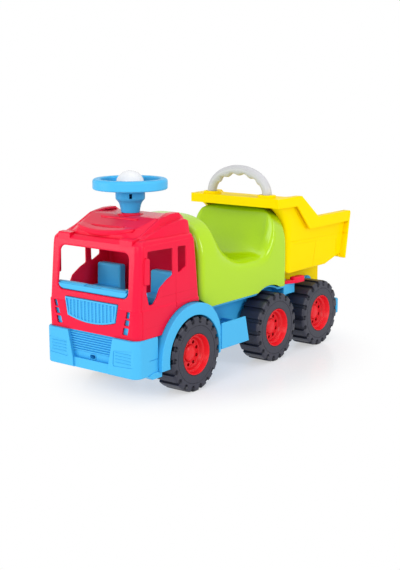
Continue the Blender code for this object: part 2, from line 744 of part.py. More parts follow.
def build_body():
    """Everything that stays still on the frame."""
    add("chassis_frame", chassis_frame(), "blue")
    add("front_bumper", front_bumper(), "blue")
    add("rear_bumper", rear_bumper(), "blue")
    for side, sign in SIDES.items():
        add(f"{side}_mudguard", mudguard(sign), "blue")
        add(f"{side}_side_step", side_step(sign), "blue")
        add(f"{side}_cab_seat", cab_seat(sign), "blue")
        add(f"{side}_hinge_pin", hinge_pin(sign), "blue")
    add("cab_shell", cab_shell(), "red")
    add("grille_panel", grille_panel(), "blue")
    add("cab_interior", cab_interior(), "blue")
    add("seat_saddle", seat_saddle(), "green")
    for place, y in SEAT_SCREW_YS.items():
        add(f"seat_screw_{place}", screw((0, y), DECK_Z - 7.3, SEAT_BOTTOM_Z + 13), "steel")
    pin = [(146, 0), (146, 3), (LEVER_Z + 8, 3), (LEVER_Z + 8, 6), (LEVER_Z + 10.5, 6), (LEVER_Z + 10.5, 0)]
    add("lever_pin", turned(pin, 10, "z", (*LEVER_PIVOT, 0)), "steel")


def hinge_pin(sign):
    """Headed stub pin through the frame's ear into the bed's boss."""
    profile = [(58, 0), (58, HINGE_PIN_RADIUS), (FRAME_HALF_WIDTH + GAP, HINGE_PIN_RADIUS)]
    profile += [(FRAME_HALF_WIDTH + GAP, HINGE_HEAD_RADIUS), (80.8, HINGE_HEAD_RADIUS - 1), (80.8, 0)]
    return turned([(sign * x, radius) for x, radius in profile], 16, "x", (0, HINGE_Y, HINGE_Z))


def build_steering():
    """Column and wheel turn together in the roof, with a sprung horn button in the hub."""
    pivot = pivot_at("steering_axis", 0, STEERING_Y, COLLAR_TOP_Z)
    centre = (0, STEERING_Y, 0)
    base = ROOF_BOSS_Z + GAP
    spigot = ROOF_Z - WALL - GAP
    column = [
        (spigot, SPIGOT_RADIUS),
        (base, SPIGOT_RADIUS),
        (base, 19),
        (388, 21),
        (394, 28),
        (399, COLLAR_RADIUS),
        (COLLAR_TOP_Z, COLLAR_RADIUS),
        (COLLAR_TOP_Z, COLLAR_RADIUS - WALL),
        (400, COLLAR_RADIUS - WALL),
        (392, 19),
        (378, 16),
        (378, 2.7),
        (spigot, 2.7),
    ]
    add("steering_column", turned(column, 24, "z", centre), "blue", pivot)
    washer = [(spigot - 3.3, 2.7), (spigot - 3.3, 17), (spigot - GAP, 17), (spigot - GAP, 2.7)]
    add("steering_washer", turned(washer, 12, "z", centre), "steel", pivot)
    add("steering_screw", screw((0, STEERING_Y), spigot - 6.6, 376), "steel", pivot)
    add("steering_wheel", steering_wheel(centre), "blue", pivot)
    horn = pivot_at("horn_axis", 0, STEERING_Y, HORN_CENTRE_Z)
    add("horn_button", horn_button(centre), "white", horn)
    horn_spring()


def steering_wheel(centre):
    """Deep rim, three spokes and a cup-shaped hub."""
    low, high = STEERING_RIM_Z
    outer = STEERING_RADIUS
    inner = outer - STEERING_RIM_WIDTH
    middle = (low + high) / 2
    rim_profile = [(low, outer - 4), (low + 4, outer - 0.5), (middle, outer), (high - 5, outer - 0.5)]
    rim_profile += [(high, outer - 6), (high, inner + 5), (high - 4, inner)]
    rim_profile += [(low + 4, inner), (low, inner + 4)]
    wheel = turned(rim_profile, 32, "z", centre)
    floor = COLLAR_TOP_Z + GAP
    cup = [(floor, 0), (floor, HORN_RADIUS + 5), (428, HORN_RADIUS + 5)]
    cup += [(428, HORN_RADIUS + 0.7), (floor + 4, HORN_RADIUS + 0.7)]
    wheel_hub = turned(cup + [(floor + 4, 0)], 24, "z", centre)
    for i in range(SPOKES):
        spoke = box((-11, 11), (HORN_RADIUS + 2.5, inner + 5), (419, 427))
        turn = Matrix.Rotation(math.pi + 2 * math.pi * i / SPOKES, 3, "Z")
        bmesh.ops.rotate(spoke, verts=spoke.verts, matrix=turn)
        bmesh.ops.translate(spoke, verts=spoke.verts, vec=centre)
        wheel_hub = joined(wheel_hub, spoke)
    return joined(wheel, wheel_hub)


def horn_button(centre):
    """Domed cap with a skirt that slides in the hub and a boss that bears on the spring."""
    skirt = 421.5
    inner = HORN_RADIUS - 2.6
    outside = [(HORN_CENTRE_Z + r_z, r) for r, r_z in arc((0, 0), HORN_RADIUS, 0, 90, 6)]
    outside[-1] = (HORN_CENTRE_Z + HORN_RADIUS, 0)
    boss = 11.5
    meet = math.degrees(math.acos(boss / inner))
    inside = [(HORN_CENTRE_Z + r_z, r) for r, r_z in arc((0, 0), inner, meet, 0, 3)]
    profile = [(skirt, HORN_RADIUS), *outside, (HORN_BOSS_Z, 0), (HORN_BOSS_Z, boss), *inside, (skirt, inner)]
    return turned(profile, 20, "z", centre)


def horn_spring():
    """Coil under the button: one open helix of round wire."""
    wire = 0.7
    low = COLLAR_TOP_Z + GAP + 4 + wire + GAP
    high = HORN_BOSS_Z - wire - GAP
    points = HORN_SPRING_TURNS * 9
    curve = bpy.data.curves.new("horn_spring", "CURVE")
    curve.dimensions = "3D"
    curve.bevel_depth = wire * MM
    curve.bevel_resolution = 1
    curve.use_fill_caps = True
    spline = curve.splines.new("POLY")
    spline.points.add(points)
    for i in range(points + 1):
        angle = 2 * math.pi * i / 9
        height = low + (high - low) * i / points
        spline.points[i].co = (8 * math.cos(angle) * MM, 8 * math.sin(angle) * MM, height * MM, 1)
    curve.materials.append(look("horn_spring", "steel"))
    spring = bpy.data.objects.new("horn_spring", curve)
    spring.location.y = STEERING_Y * MM
    bpy.context.scene.collection.objects.link(spring)
    print("horn_spring gap between turns:", round((high - low) / HORN_SPRING_TURNS - 2 * wire, 2), "mm")


def tapered(shape):
    """Draws the bed's sides in towards its floor."""
    for vert in shape.verts:
        vert.co.x *= 1 - BED_TAPER * max(0, BED_TOP_Z - vert.co.z) / (BED_TOP_Z - BED_FLOOR_Z)
    return shape


def tipper_bed():
    """Yellow tub, open at the rear, with a turned-down rim, a canopy and a well between the frame's ears."""
    rear = BED_REAR_Y
    side = [(BED_FRONT_Y, BED_FLOOR_Z), (316, BED_FLOOR_Z), (380, 205), (rear - 20, 205)]
    side += [(rear - 2, BED_REAR_Z), (248, BED_REAR_Z), (177, BED_TOP_Z), (BED_FRONT_Y, BED_TOP_Z)]
    inside = [(BED_FRONT_Y + 4.5, BED_FLOOR_Z + 4), (315, BED_FLOOR_Z + 4), (379, 209), (460, 230.5)]
    inside += [(460, 440), (BED_FRONT_Y + 4.5, 440)]
    bed = tapered(prism(side, "x", -BED_HALF_WIDTH, BED_HALF_WIDTH))
    drop = BED_RIM_HEIGHT
    half = BED_RIM_HALF_WIDTH
    band = [(CANOPY_FRONT_Y, BED_TOP_Z), (177, BED_TOP_Z), (248, BED_REAR_Z), (rear, BED_REAR_Z)]
    band += [(rear - 4, BED_REAR_Z - drop), (240, BED_REAR_Z - drop), (169, BED_TOP_Z - drop)]
    band += [(CANOPY_FRONT_Y, BED_TOP_Z - drop)]
    bed = joined(bed, prism(band, "x", -half, half))
    well = box((-WELL_HALF_WIDTH, WELL_HALF_WIDTH), WELL_Y, (WELL_BOTTOM_Z, BED_FLOOR_Z + 2))
    bed = joined(bed, well)
    for sign in SIDES.values():
        reach = sorted((sign * 108, sign * half))
        high = BED_REAR_Z - 10
        flange = [(rear - 24, 196), (rear - 20, 196), (rear - 1, high), (rear - 5, high)]
        bed = joined(bed, prism(flange, "x", *reach))
    lip = [(rear - 32, 200), (rear - 24, 196), (rear - 20, 196), (rear - 18, 206), (rear - 32, 206)]
    bed = joined(bed, prism(lip, "x", -109, 109))
    bed = cut(bed, tapered(prism(inside, "x", 4 - BED_HALF_WIDTH, BED_HALF_WIDTH - 4)))
    well_inner = WELL_HALF_WIDTH - 4
    bed = cut(bed, box((-well_inner, well_inner), (WELL_Y[0] + 4, WELL_Y[1] - 4), (WELL_BOTTOM_Z + 4, 220)))
    hollow_z = (BED_TOP_Z - drop - 9, BED_TOP_Z - 4)
    bed = cut(bed, box((4 - half, half - 4), (CANOPY_FRONT_Y + 4, BED_FRONT_Y - 1), hollow_z))
    gusset = [(BED_FRONT_Y + 1, 284), (BED_FRONT_Y + 1, BED_TOP_Z - 2), (97, BED_TOP_Z - 2), (97, 352)]
    for sign in SIDES.values():
        bed = joined(bed, prism(gusset, "x", *sorted((sign * (BED_HALF_WIDTH - 5), sign * BED_HALF_WIDTH))))
    under = [(BED_FRONT_Y + 3, 366), (175, 366), (246, 310), (rear - 5, 310), (rear - 9, 270), (236, 270)]
    under += [(163, 326), (BED_FRONT_Y + 3, 326)]
    for sign in SIDES.values():
        groove = sorted((sign * (BED_HALF_WIDTH + 0.6), sign * (half - 4)))
        bed = cut(bed, prism(under, "x", *groove))
        boss = sorted((sign * 50, sign * (WELL_HALF_WIDTH - 1)))
        bore = sorted((sign * 56, sign * 90))
        bed = joined(bed, cylinder("x", (0, HINGE_Y, HINGE_Z), 13, *boss))
        bed = cut(bed, cylinder("x", (0, HINGE_Y, HINGE_Z), HINGE_PIN_RADIUS + 0.5, *bore, 12))
        x = sign * HANDLE_HALF_WIDTH
        pad_x = (x - PAD_HALF_WIDTH, x + PAD_HALF_WIDTH)
        pad = box(pad_x, (HANDLE_Y - 16, HANDLE_Y + 16), (BED_TOP_Z - 2, HANDLE_FOOT_Z - GAP))
        hole = cylinder("z", (x, HANDLE_Y, 0), 2.7, BED_TOP_Z - 20, BED_TOP_Z + 20, 8)
        bed = cut(joined(bed, pad), hole)
    return bed


def push_handle():
    """Arched grip with finger scallops underneath."""
    rise = HANDLE_TOP_Z - HANDLE_FOOT_Z
    sides = 10
    steps = 24
    rings = []
    for i in range(steps + 1):
        angle = math.pi * i / steps
        x = -HANDLE_HALF_WIDTH * math.cos(angle)
        z = HANDLE_FOOT_Z + rise * math.sin(angle)
        along = Vector((HANDLE_HALF_WIDTH * math.sin(angle), 0, rise * math.cos(angle))).normalized()
        out = Vector((-along.z, 0, along.x))
        grip = 1.6 * math.cos(2 * math.pi * HANDLE_GRIPS * (i / steps - 0.5)) if 4 < i < steps - 4 else 0
        ring = []
        for k in range(sides):
            turn = 2 * math.pi * k / sides
            reach = HANDLE_RADIUS + (grip if math.cos(turn) < -0.2 else 0)
            spot = Vector((x, HANDLE_Y, z)) + out * reach * math.cos(turn)
            ring.append(tuple(spot + Vector((0, HANDLE_RADIUS * math.sin(turn), 0))))
        rings.append(ring)
    handle = loft(rings)
    for sign in SIDES.values():
        x = sign * HANDLE_HALF_WIDTH
        hole = cylinder("z", (x, HANDLE_Y, 0), 2.7, HANDLE_FOOT_Z - 5, HANDLE_FOOT_Z + 14, 8)
        handle = cut(handle, hole)
    return handle


def build_tipper():
    pivot = pivot_at("tipper_axis", 0, HINGE_Y, HINGE_Z)
    add("tipper_bed", tipper_bed(), "yellow", pivot)
    add("push_handle", push_handle(), "grey", pivot)
    for side, sign in SIDES.items():
        centre = (sign * HANDLE_HALF_WIDTH, HANDLE_Y)
        add(f"{side}_handle_screw", screw(centre, BED_TOP_Z - 7.3, HANDLE_FOOT_Z + 12), "steel", pivot)


def build_lever():
    """Lock lever: a hub on the pin and a thick knob that points back along the side."""
    pivot = pivot_at("lever_axis", *LEVER_PIVOT, LEVER_Z)
    x, y = LEVER_PIVOT
    arm = arc((x, y), 10, 180, 330, 6) + [(x + 22, y + 26), (x + 6, y + 30)]
    grip = rounded([(x + 2, y + 20), (x + 22, y + 20), (x + 24, y + 62), (x + 4, y + 62)], 7)
    lever = joined(prism(arm, "z", LEVER_Z, LEVER_Z + 7.4), prism(grip, "z", LEVER_Z, LEVER_Z + 13.5))
    lever = cut(lever, cylinder("z", (x, y, 0), 3.4, LEVER_Z - 5, LEVER_Z + 20, 10))
    add("lock_lever", lever, "red", pivot)


def main():
    for obj in list(bpy.data.objects):
        bpy.data.objects.remove(obj)
    build_wheels()
    build_body()
    build_steering()
    build_tipper()
    build_lever()


main()
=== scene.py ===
"""Push-along tipper truck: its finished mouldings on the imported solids, a studio floor and a camera.

Lengths are millimetres in the truck's own frame, and MM turns them to metres.
The truck faces -Y, +X is its left side and the floor is z = 0.
"""

import math

import bmesh
import bpy
from bpy.props import FloatProperty, FloatVectorProperty, IntProperty, PointerProperty
from mathutils import Matrix, Vector


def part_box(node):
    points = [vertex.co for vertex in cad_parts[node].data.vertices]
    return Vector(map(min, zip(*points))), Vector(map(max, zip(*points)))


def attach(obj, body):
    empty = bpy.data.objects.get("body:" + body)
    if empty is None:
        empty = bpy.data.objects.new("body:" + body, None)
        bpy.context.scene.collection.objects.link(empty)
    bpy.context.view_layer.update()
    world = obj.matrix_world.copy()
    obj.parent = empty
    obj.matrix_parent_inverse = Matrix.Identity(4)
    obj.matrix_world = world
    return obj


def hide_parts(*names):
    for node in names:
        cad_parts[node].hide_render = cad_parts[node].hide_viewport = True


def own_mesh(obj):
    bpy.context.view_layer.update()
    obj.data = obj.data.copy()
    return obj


bl_info = {
    "name": "Tipper truck mouldings",
    "version": (1, 0, 0),
    "blender": (4, 5, 0),
    "location": "3D View > Sidebar > Tipper truck",
    "description": "Builds the visible mouldings of a push-along tipper truck",
    "category": "Add Mesh",
}

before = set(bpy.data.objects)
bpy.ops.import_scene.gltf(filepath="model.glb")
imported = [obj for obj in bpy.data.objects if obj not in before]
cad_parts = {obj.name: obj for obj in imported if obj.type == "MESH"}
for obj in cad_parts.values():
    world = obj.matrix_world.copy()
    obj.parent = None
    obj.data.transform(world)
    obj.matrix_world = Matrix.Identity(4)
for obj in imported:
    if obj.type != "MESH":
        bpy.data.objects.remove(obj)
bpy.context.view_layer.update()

MM = 0.001
SIDES = {"left": 1, "right": -1}
ROWS = ("front", "middle", "rear")
WELD = 0.0004
WALL = 3.5
ACROSS = (-200, 200)


def measured(node):
    """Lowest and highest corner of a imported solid, in millimetres."""
    low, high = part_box(node)
    return low / MM, high / MM


TYRE_LOW, TYRE_HIGH = measured("front_left_tyre")
AXLE_Z = (TYRE_LOW.z + TYRE_HIGH.z) / 2
AXLE_YS = {row: sum(v.y for v in measured(f"{row}_left_tyre")) / 2 for row in ROWS}
WHEEL_X = (TYRE_LOW.x + TYRE_HIGH.x) / 2
COLUMN_LOW, COLUMN_HIGH = measured("steering_column")
STEERING_Y = (COLUMN_LOW.y + COLUMN_HIGH.y) / 2


class TruckColours(bpy.types.PropertyGroup):
    """Colours of the plastics."""

    red: FloatVectorProperty(
        name="Cab red", description="Cab and lock lever", subtype="COLOR", default=(0.83, 0.009, 0.05)
    )
    rim_red: FloatVectorProperty(
        name="Rim red", description="Wheel rims and hub caps", subtype="COLOR", default=(0.8, 0.012, 0.022)
    )
    blue: FloatVectorProperty(
        name="Blue", description="Chassis and steering", subtype="COLOR", default=(0.07, 0.46, 0.81)
    )
    green: FloatVectorProperty(
        name="Green", description="Ride-on saddle", subtype="COLOR", default=(0.42, 0.68, 0.0)
    )
    yellow: FloatVectorProperty(
        name="Yellow", description="Tipper bed", subtype="COLOR", default=(1.0, 0.74, 0.0)
    )
    grey: FloatVectorProperty(
        name="Grey", description="Push handle", subtype="COLOR", default=(0.56, 0.56, 0.58)
    )
    white: FloatVectorProperty(
        name="White", description="Horn button", subtype="COLOR", default=(0.78, 0.79, 0.81)
    )
    tyre: FloatVectorProperty(
        name="Tyre", description="Tyre plastic", subtype="COLOR", default=(0.02, 0.021, 0.038)
    )
    steel: FloatVectorProperty(
        name="Steel", description="Axles, nuts and screws", subtype="COLOR", default=(0.6, 0.6, 0.62)
    )


class WheelSizes(bpy.types.PropertyGroup):
    """Sizes of a wheel."""

    lugs: IntProperty(name="Lugs", description="Tread lugs round a tyre", default=18, min=6)
    groove_half: FloatProperty(
        name="Groove half width", description="Half the gap between two lugs, mm", default=4.9
    )
    groove_depth: FloatProperty(
        name="Groove depth", description="Depth of the gap between two lugs, mm", default=4.2
    )
    pocket_depth: FloatProperty(
        name="Pocket depth", description="Depth of a lug gap in the side wall, mm", default=3.8
    )
    holes: IntProperty(name="Holes", description="Round holes in a rim's disc", default=9, min=0)
    hole_ring: FloatProperty(
        name="Hole ring", description="Radius of the circle of holes, mm", default=24.6
    )
    hole_radius: FloatProperty(name="Hole radius", description="Radius of one hole, mm", default=3.9)


class BodySizes(bpy.types.PropertyGroup):
    """Sizes of the cab, the saddle, the bed and the handle."""

    easing: FloatProperty(
        name="Edge easing", description="Radius of an ordinary moulded edge, mm", default=2.0
    )
    bumper_ribs: IntProperty(
        name="Bumper ribs", description="Ribs in the bumper's centre panel", default=8
    )
    grille_ribs: IntProperty(name="Grille ribs", description="Upright ribs of the grille", default=13)
    finger_grips: IntProperty(name="Finger grips", description="Scallops under the handle", default=5)
    dish_depth: FloatProperty(
        name="Backrest dish", description="How far the backrest curves in, mm", default=16
    )


class StageSizes(bpy.types.PropertyGroup):
    """Camera and light of the studio."""

    azimuth: FloatProperty(
        name="Azimuth", description="Turn of the camera round the truck, degrees", default=37.7215
    )
    elevation: FloatProperty(
        name="Elevation", description="Camera angle over the horizon, degrees", default=11.3542
    )
    distance: FloatProperty(
        name="Distance", description="Camera to target", subtype="DISTANCE", default=2.35384
    )
    target: FloatVectorProperty(
        name="Target", description="Point the camera looks at", subtype="XYZ", default=(0, -0.048, 0.17884)
    )
    lens: FloatProperty(name="Lens", description="Focal length, mm", default=65.48)


class TruckSettings(bpy.types.PropertyGroup):
    """All that a user would change."""

    colours: PointerProperty(type=TruckColours)
    wheels: PointerProperty(type=WheelSizes)
    body: PointerProperty(type=BodySizes)
    stage: PointerProperty(type=StageSizes)


def settings():
    """The values that the sidebar holds."""
    return bpy.context.scene.tipper_truck


# Shapes


def loft(rings, around=False):
    """Skin over rings of equal length: capped at both ends, or closed into a loop."""
    shape = bmesh.new()
    rows = [[shape.verts.new(point) for point in ring] for ring in rings]
    following = rows[1:] + rows[:1] if around else rows[1:]
    for row, after in zip(rows, following):
        for i in range(len(row)):
            j = (i + 1) % len(row)
            shape.faces.new((row[i], row[j], after[j], after[i]))
    if not around:
        shape.faces.new(rows[0])
        shape.faces.new(rows[-1])
    bmesh.ops.recalc_face_normals(shape, faces=shape.faces)
    return shape


def prism(outline, axis, low, high):
    """A flat outline pushed along one axis. The outline holds the other two coordinates in order."""
    place = {
        "x": lambda a, b, at: (at, a, b),
        "y": lambda a, b, at: (a, at, b),
        "z": lambda a, b, at: (a, b, at),
    }[axis]
    return loft([[place(a, b, at) for a, b in outline] for at in (low, high)])


def box(x, y, z):
    """A block from three pairs of low and high."""
    return prism([(x[0], y[0]), (x[1], y[0]), (x[1], y[1]), (x[0], y[1])], "z", *z)


def span(sign, near, far):
    """Low and high x of a slab on one side of the truck."""
    return sorted((sign * near, sign * far))


def turned(profile, segments, axis, centre=(0, 0, 0)):
    """A closed profile of (along, radius) points swept round an axis through the centre."""
    shape = bmesh.new()
    rows = []
    for along, radius in profile:
        if radius == 0:
            rows.append([shape.verts.new(on_axis(axis, along, 0, 0, centre))] * segments)
            continue
        row = []
        for i in range(segments):
            angle = 2 * math.pi * (i + 0.5) / segments
            spot = on_axis(axis, along, radius * math.cos(angle), radius * math.sin(angle), centre)
            row.append(shape.verts.new(spot))
        rows.append(row)
    for row, after in zip(rows, rows[1:] + rows[:1]):
        for i in range(segments):
            j = (i + 1) % segments
            corners = list(dict.fromkeys((row[i], row[j], after[j], after[i])))
            if len(corners) > 2:
                shape.faces.new(corners)
    bmesh.ops.recalc_face_normals(shape, faces=shape.faces)
    return shape


def on_axis(axis, along, a, b, centre):
    """A point given along an axis and across it, moved to a centre."""
    local = (along, a, b) if axis == "x" else (a, b, along)
    return tuple(p + c for p, c in zip(local, centre))


def cylinder(axis, centre, radius, low, high, segments=32):
    """A round bar along an axis through the centre."""
    return turned([(low, 0), (low, radius), (high, radius), (high, 0)], segments, axis, centre)


def arc(centre, radius, start, end, steps):
    """Points on a circle from one angle to another, in degrees."""
    points = []
    for i in range(steps + 1):
        angle = math.radians(start + (end - start) * i / steps)
        points.append((centre[0] + radius * math.cos(angle), centre[1] + radius * math.sin(angle)))
    return points


def rounded(corners, radius, steps=5):
    """The outline with each corner replaced by an arc. The radius is one number, or one for each corner."""
    points = []
    count = len(corners)
    radii = radius if isinstance(radius, (list, tuple)) else [radius] * count
    for i in range(count):
        corner = Vector(corners[i])
        if radii[i] == 0:
            points.append(tuple(corner))
            continue
        before = (Vector(corners[i - 1]) - corner).normalized()
        after = (Vector(corners[(i + 1) % count]) - corner).normalized()
        half = before.angle(after) / 2
        centre = corner + (before + after).normalized() * (radii[i] / math.sin(half))
        reach = radii[i] / math.tan(half)
        first = (corner + before * reach - centre).normalized()
        last = (corner + after * reach - centre).normalized()
        for k in range(steps + 1):
            points.append(tuple(centre + first.slerp(last, k / steps) * radii[i]))
    return points


def grown(outline, distance):
    """The outline moved outwards by a distance, corner by corner."""
    count = len(outline)
    area = sum(
        outline[i][0] * outline[(i + 1) % count][1] - outline[(i + 1) % count][0] * outline[i][1]
        for i in range(count)
    )
    sign = 1 if area > 0 else -1
    points = []
    for i in range(count):
        here = Vector(outline[i])
        before = (here - Vector(outline[i - 1])).normalized()
        after = (Vector(outline[(i + 1) % count]) - here).normalized()
        along = (before + after).normalized()
        out = Vector((along.y, -along.x)) * sign
        reach = distance / max(0.3, math.cos(before.angle(after) / 2))
        points.append(tuple(here + out * reach))
    return points


def flared(outline, axis, face, inward, easing, far):
    """A cutter for an opening whose mouth is rounded.

    Face gives the surface's place along the axis, and inward is 1 or -1, the way in from there.
    """
    steps = 4
    clear = 4
    levels = [(easing + 3, -clear)]
    for k in range(steps + 1):
        angle = math.pi / 2 * k / steps
        levels.append((easing * (1 - math.sin(angle)), easing * (1 - math.cos(angle))))
    levels.append((0, far))
    rings = []
    for wide, deep in levels:
        ring = []
        for a, b in grown(outline, wide):
            at = face(a, b) + inward * deep
            ring.append((at, a, b) if axis == "x" else (a, at, b))
        rings.append(ring)
    return loft(rings)


def eased(shape, radius, segments=3, pick=None, limit=28):
    """Rounds the edges that turn more than a limit in degrees, or those of them that pick accepts."""
    turn = math.radians(limit)
    edges = [e for e in shape.edges if len(e.link_faces) == 2 and e.calc_face_angle() > turn]
    if pick is not None:
        edges = [e for e in edges if pick(e)]
    bmesh.ops.bevel(
        shape,
        geom=edges,
        offset=radius,
        offset_type="OFFSET",
        segments=segments,
        profile=0.5,
        affect="EDGES",
        clamp_overlap=True,
    )
    return shape


def combined(shape, other, operation):
    """Boolean of two shapes, both used up."""
    objects = []
    for part in (shape, other):
        mesh = bpy.data.meshes.new("shape")
        part.to_mesh(mesh)
        part.free()
        obj = bpy.data.objects.new("shape", mesh)
        bpy.context.scene.collection.objects.link(obj)
        objects.append(obj)
    base, tool = objects
    modifier = base.modifiers.new("join", "BOOLEAN")
    modifier.operation = operation
    modifier.solver = "EXACT"
    modifier.object = tool
    graph = bpy.context.evaluated_depsgraph_get()
    result = bmesh.new()
    result.from_object(base, graph)
    bmesh.ops.remove_doubles(result, verts=result.verts, dist=WELD)
    for obj in objects:
        mesh = obj.data
        bpy.data.objects.remove(obj)
        bpy.data.meshes.remove(mesh)
    return result


def joined(shape, *others):
    """The shape with others added."""
    for other in others:
        shape = combined(shape, other, "UNION")
    return shape


def cut(shape, *tools):
    """The shape with tools taken out of it."""
    for tool in tools:
        shape = combined(shape, tool, "DIFFERENCE")
    return shape


def swung(shape, angle, axis, centre):
    """Turns a shape that lies round the origin, then moves it to its centre."""
    bmesh.ops.rotate(shape, verts=shape.verts, matrix=Matrix.Rotation(angle, 3, axis))
    bmesh.ops.translate(shape, verts=shape.verts, vec=centre)
    return shape


def clamped(value):
    """The value kept between 0 and 1."""
    return min(1, max(0, value))


def stepped(points, at):
    """Straight-line reading of a table of (place, value) pairs."""
    if at <= points[0][0]:
        return points[0][1]
    for (low, first), (high, second) in zip(points, points[1:]):
        if at <= high:
            return first + (second - first) * (at - low) / (high - low)
    return points[-1][1]


def soft_min(a, b, blend):
    """The lower of two heights, rounded where they meet."""
    share = clamped(0.5 + 0.5 * (b - a) / blend)
    return b + (a - b) * share - blend * share * (1 - share)


def to_mesh(name, shape, smooth=40):
    """A mesh in metres from a shape in millimetres, smooth up to an angle in degrees."""
    mesh = bpy.data.meshes.new(name)
    shape.to_mesh(mesh)
    shape.free()
    mesh.transform(Matrix.Scale(MM, 4))
    mesh.shade_smooth()
    mesh.set_sharp_from_angle(angle=math.radians(smooth))
    return mesh


def put(name, mesh, finish, body, stands_for=(), where=None):
    """A finished piece that rides on a body, with its material."""
    obj = bpy.data.objects.new(name, mesh)
    bpy.context.scene.collection.objects.link(obj)
    material, slot = finish
    if not mesh.materials:
        mesh.materials.append(material)
    if where is not None:
        obj.matrix_world = where
    normals = obj.modifiers.new("even shading", "WEIGHTED_NORMAL")
    normals.keep_sharp = True
    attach(obj, body)
    if stands_for:
        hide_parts(*stands_for)
    return obj


# Materials


# Inputs of the moulded surface after its colour, with their usual values
SURFACE_INPUTS = {
    "Drift": 0.05,
    "Roughness": 0.35,
    "Grain scale": 700,
    "Rub": 0.1,
    # The last two paint shade into the colour: how far it reaches in metres, and how dark it gets.
    "Painted shade reach": 0.02,
    "Painted shade level": 0.5,
}


def surface_group():
    """Moulded surface: slow colour drift, painted shade where surfaces lie close together, fine grain and
    rubbed streaks.
    """
    name = "Moulded surface"
    if name in bpy.data.node_groups:
        return bpy.data.node_groups[name]
    group = bpy.data.node_groups.new(name, "ShaderNodeTree")
    colour = group.interface.new_socket("Color", in_out="INPUT", socket_type="NodeSocketColor")
    colour.default_value = (0.5, 0.5, 0.5, 1)
    for title, value in SURFACE_INPUTS.items():
        socket = group.interface.new_socket(title, in_out="INPUT", socket_type="NodeSocketFloat")
        socket.default_value = value
    for title, kind in (
        ("Color", "NodeSocketColor"),
        ("Roughness", "NodeSocketFloat"),
        ("Height", "NodeSocketFloat"),
    ):
        group.interface.new_socket(title, in_out="OUTPUT", socket_type=kind)
    nodes, links = group.nodes, group.links
    inside = nodes.new("NodeGroupInput")
    outside = nodes.new("NodeGroupOutput")
    place = nodes.new("ShaderNodeTexCoord").outputs["Object"]
    drift = noise(nodes, links, place, 9, 3)
    grain = noise(nodes, links, place, None, 2)
    links.new(inside.outputs["Grain scale"], grain.inputs["Scale"])
    stretch = nodes.new("ShaderNodeMapping")
    stretch.inputs["Scale"].default_value = (30, 6, 90)
    stretch.inputs["Rotation"].default_value = (0.3, 0.5, 0.2)
    links.new(place, stretch.inputs["Vector"])
    streak = noise(nodes, links, stretch.outputs["Vector"], 1, 4)
    rub = ranged(nodes, links, streak.outputs["Fac"], 0.6, 0.72)
    rubbed = maths(nodes, links, "MULTIPLY", rub.outputs["Result"], inside.outputs["Rub"])
    centred = maths(nodes, links, "SUBTRACT", drift.outputs["Fac"], 0.5)
    swing = maths(nodes, links, "MULTIPLY", centred, inside.outputs["Drift"])
    shade = maths(nodes, links, "ADD", swing, 1.0)
    # Painted shade where surfaces lie close together, then the colour's slow drift.
    tint = shaded(nodes, links, painted_shade(nodes, links, inside), shade)
    rough = maths(nodes, links, "ADD", inside.outputs["Roughness"], swing)
    rough = maths(nodes, links, "ADD", rough, rubbed)
    links.new(tint, outside.inputs["Color"])
    links.new(rough, outside.inputs["Roughness"])
    links.new(grain.outputs["Fac"], outside.inputs["Height"])
    return group


def painted_shade(nodes, links, inside):
    """Painted shade: a deeper, more saturated colour where surfaces lie close together, darkened by ambient
    occlusion.
    """
    colour = inside.outputs["Color"]
    nearby = nodes.new("ShaderNodeAmbientOcclusion")
    nearby.samples = 8
    links.new(inside.outputs["Painted shade reach"], nearby.inputs["Distance"])
    open_share = ranged(nodes, links, nearby.outputs["AO"], 0.25, 0.9)
    rich = nodes.new("ShaderNodeGamma")
    rich.inputs["Gamma"].default_value = 1.35
    links.new(colour, rich.inputs["Color"])
    painted_dark = shaded(nodes, links, rich.outputs["Color"], inside.outputs["Painted shade level"])
    mix = nodes.new("ShaderNodeMix")
    mix.data_type = "RGBA"
    links.new(open_share.outputs["Result"], mix.inputs["Factor"])
    links.new(painted_dark, mix.inputs["A"])
    links.new(colour, mix.inputs["B"])
    return mix.outputs["Result"]


def shaded(nodes, links, colour, shade):
    """The colour times a shade."""
    node = nodes.new("ShaderNodeMix")
    node.data_type = "RGBA"
    node.blend_type = "MULTIPLY"
    node.inputs["Factor"].default_value = 1
    links.new(colour, node.inputs["A"])
    links.new(shade, node.inputs["B"])
    return node.outputs["Result"]


def ranged(nodes, links, value, low, high):
    """The value stretched so that low gives 0 and high gives 1."""
    node = nodes.new("ShaderNodeMapRange")
    node.inputs["From Min"].default_value = low
    node.inputs["From Max"].default_value = high
    links.new(value, node.inputs["Value"])
    return node


def noise(nodes, links, place, scale, detail):
    """Soft noise over a surface. A scale of None is left to a link."""
    node = nodes.new("ShaderNodeTexNoise")
    node.inputs["Detail"].default_value = detail
    if scale is not None:
        node.inputs["Scale"].default_value = scale
    links.new(place, node.inputs["Vector"])
    return node


def maths(nodes, links, operation, first, second):
    """One sum of two numbers or sockets."""
    node = nodes.new("ShaderNodeMath")
    node.operation = operation
    for value, socket in zip((first, second), node.inputs):
        if isinstance(value, (int, float)):
            socket.default_value = value
        else:
            links.new(value, socket)
    return node.outputs["Value"]
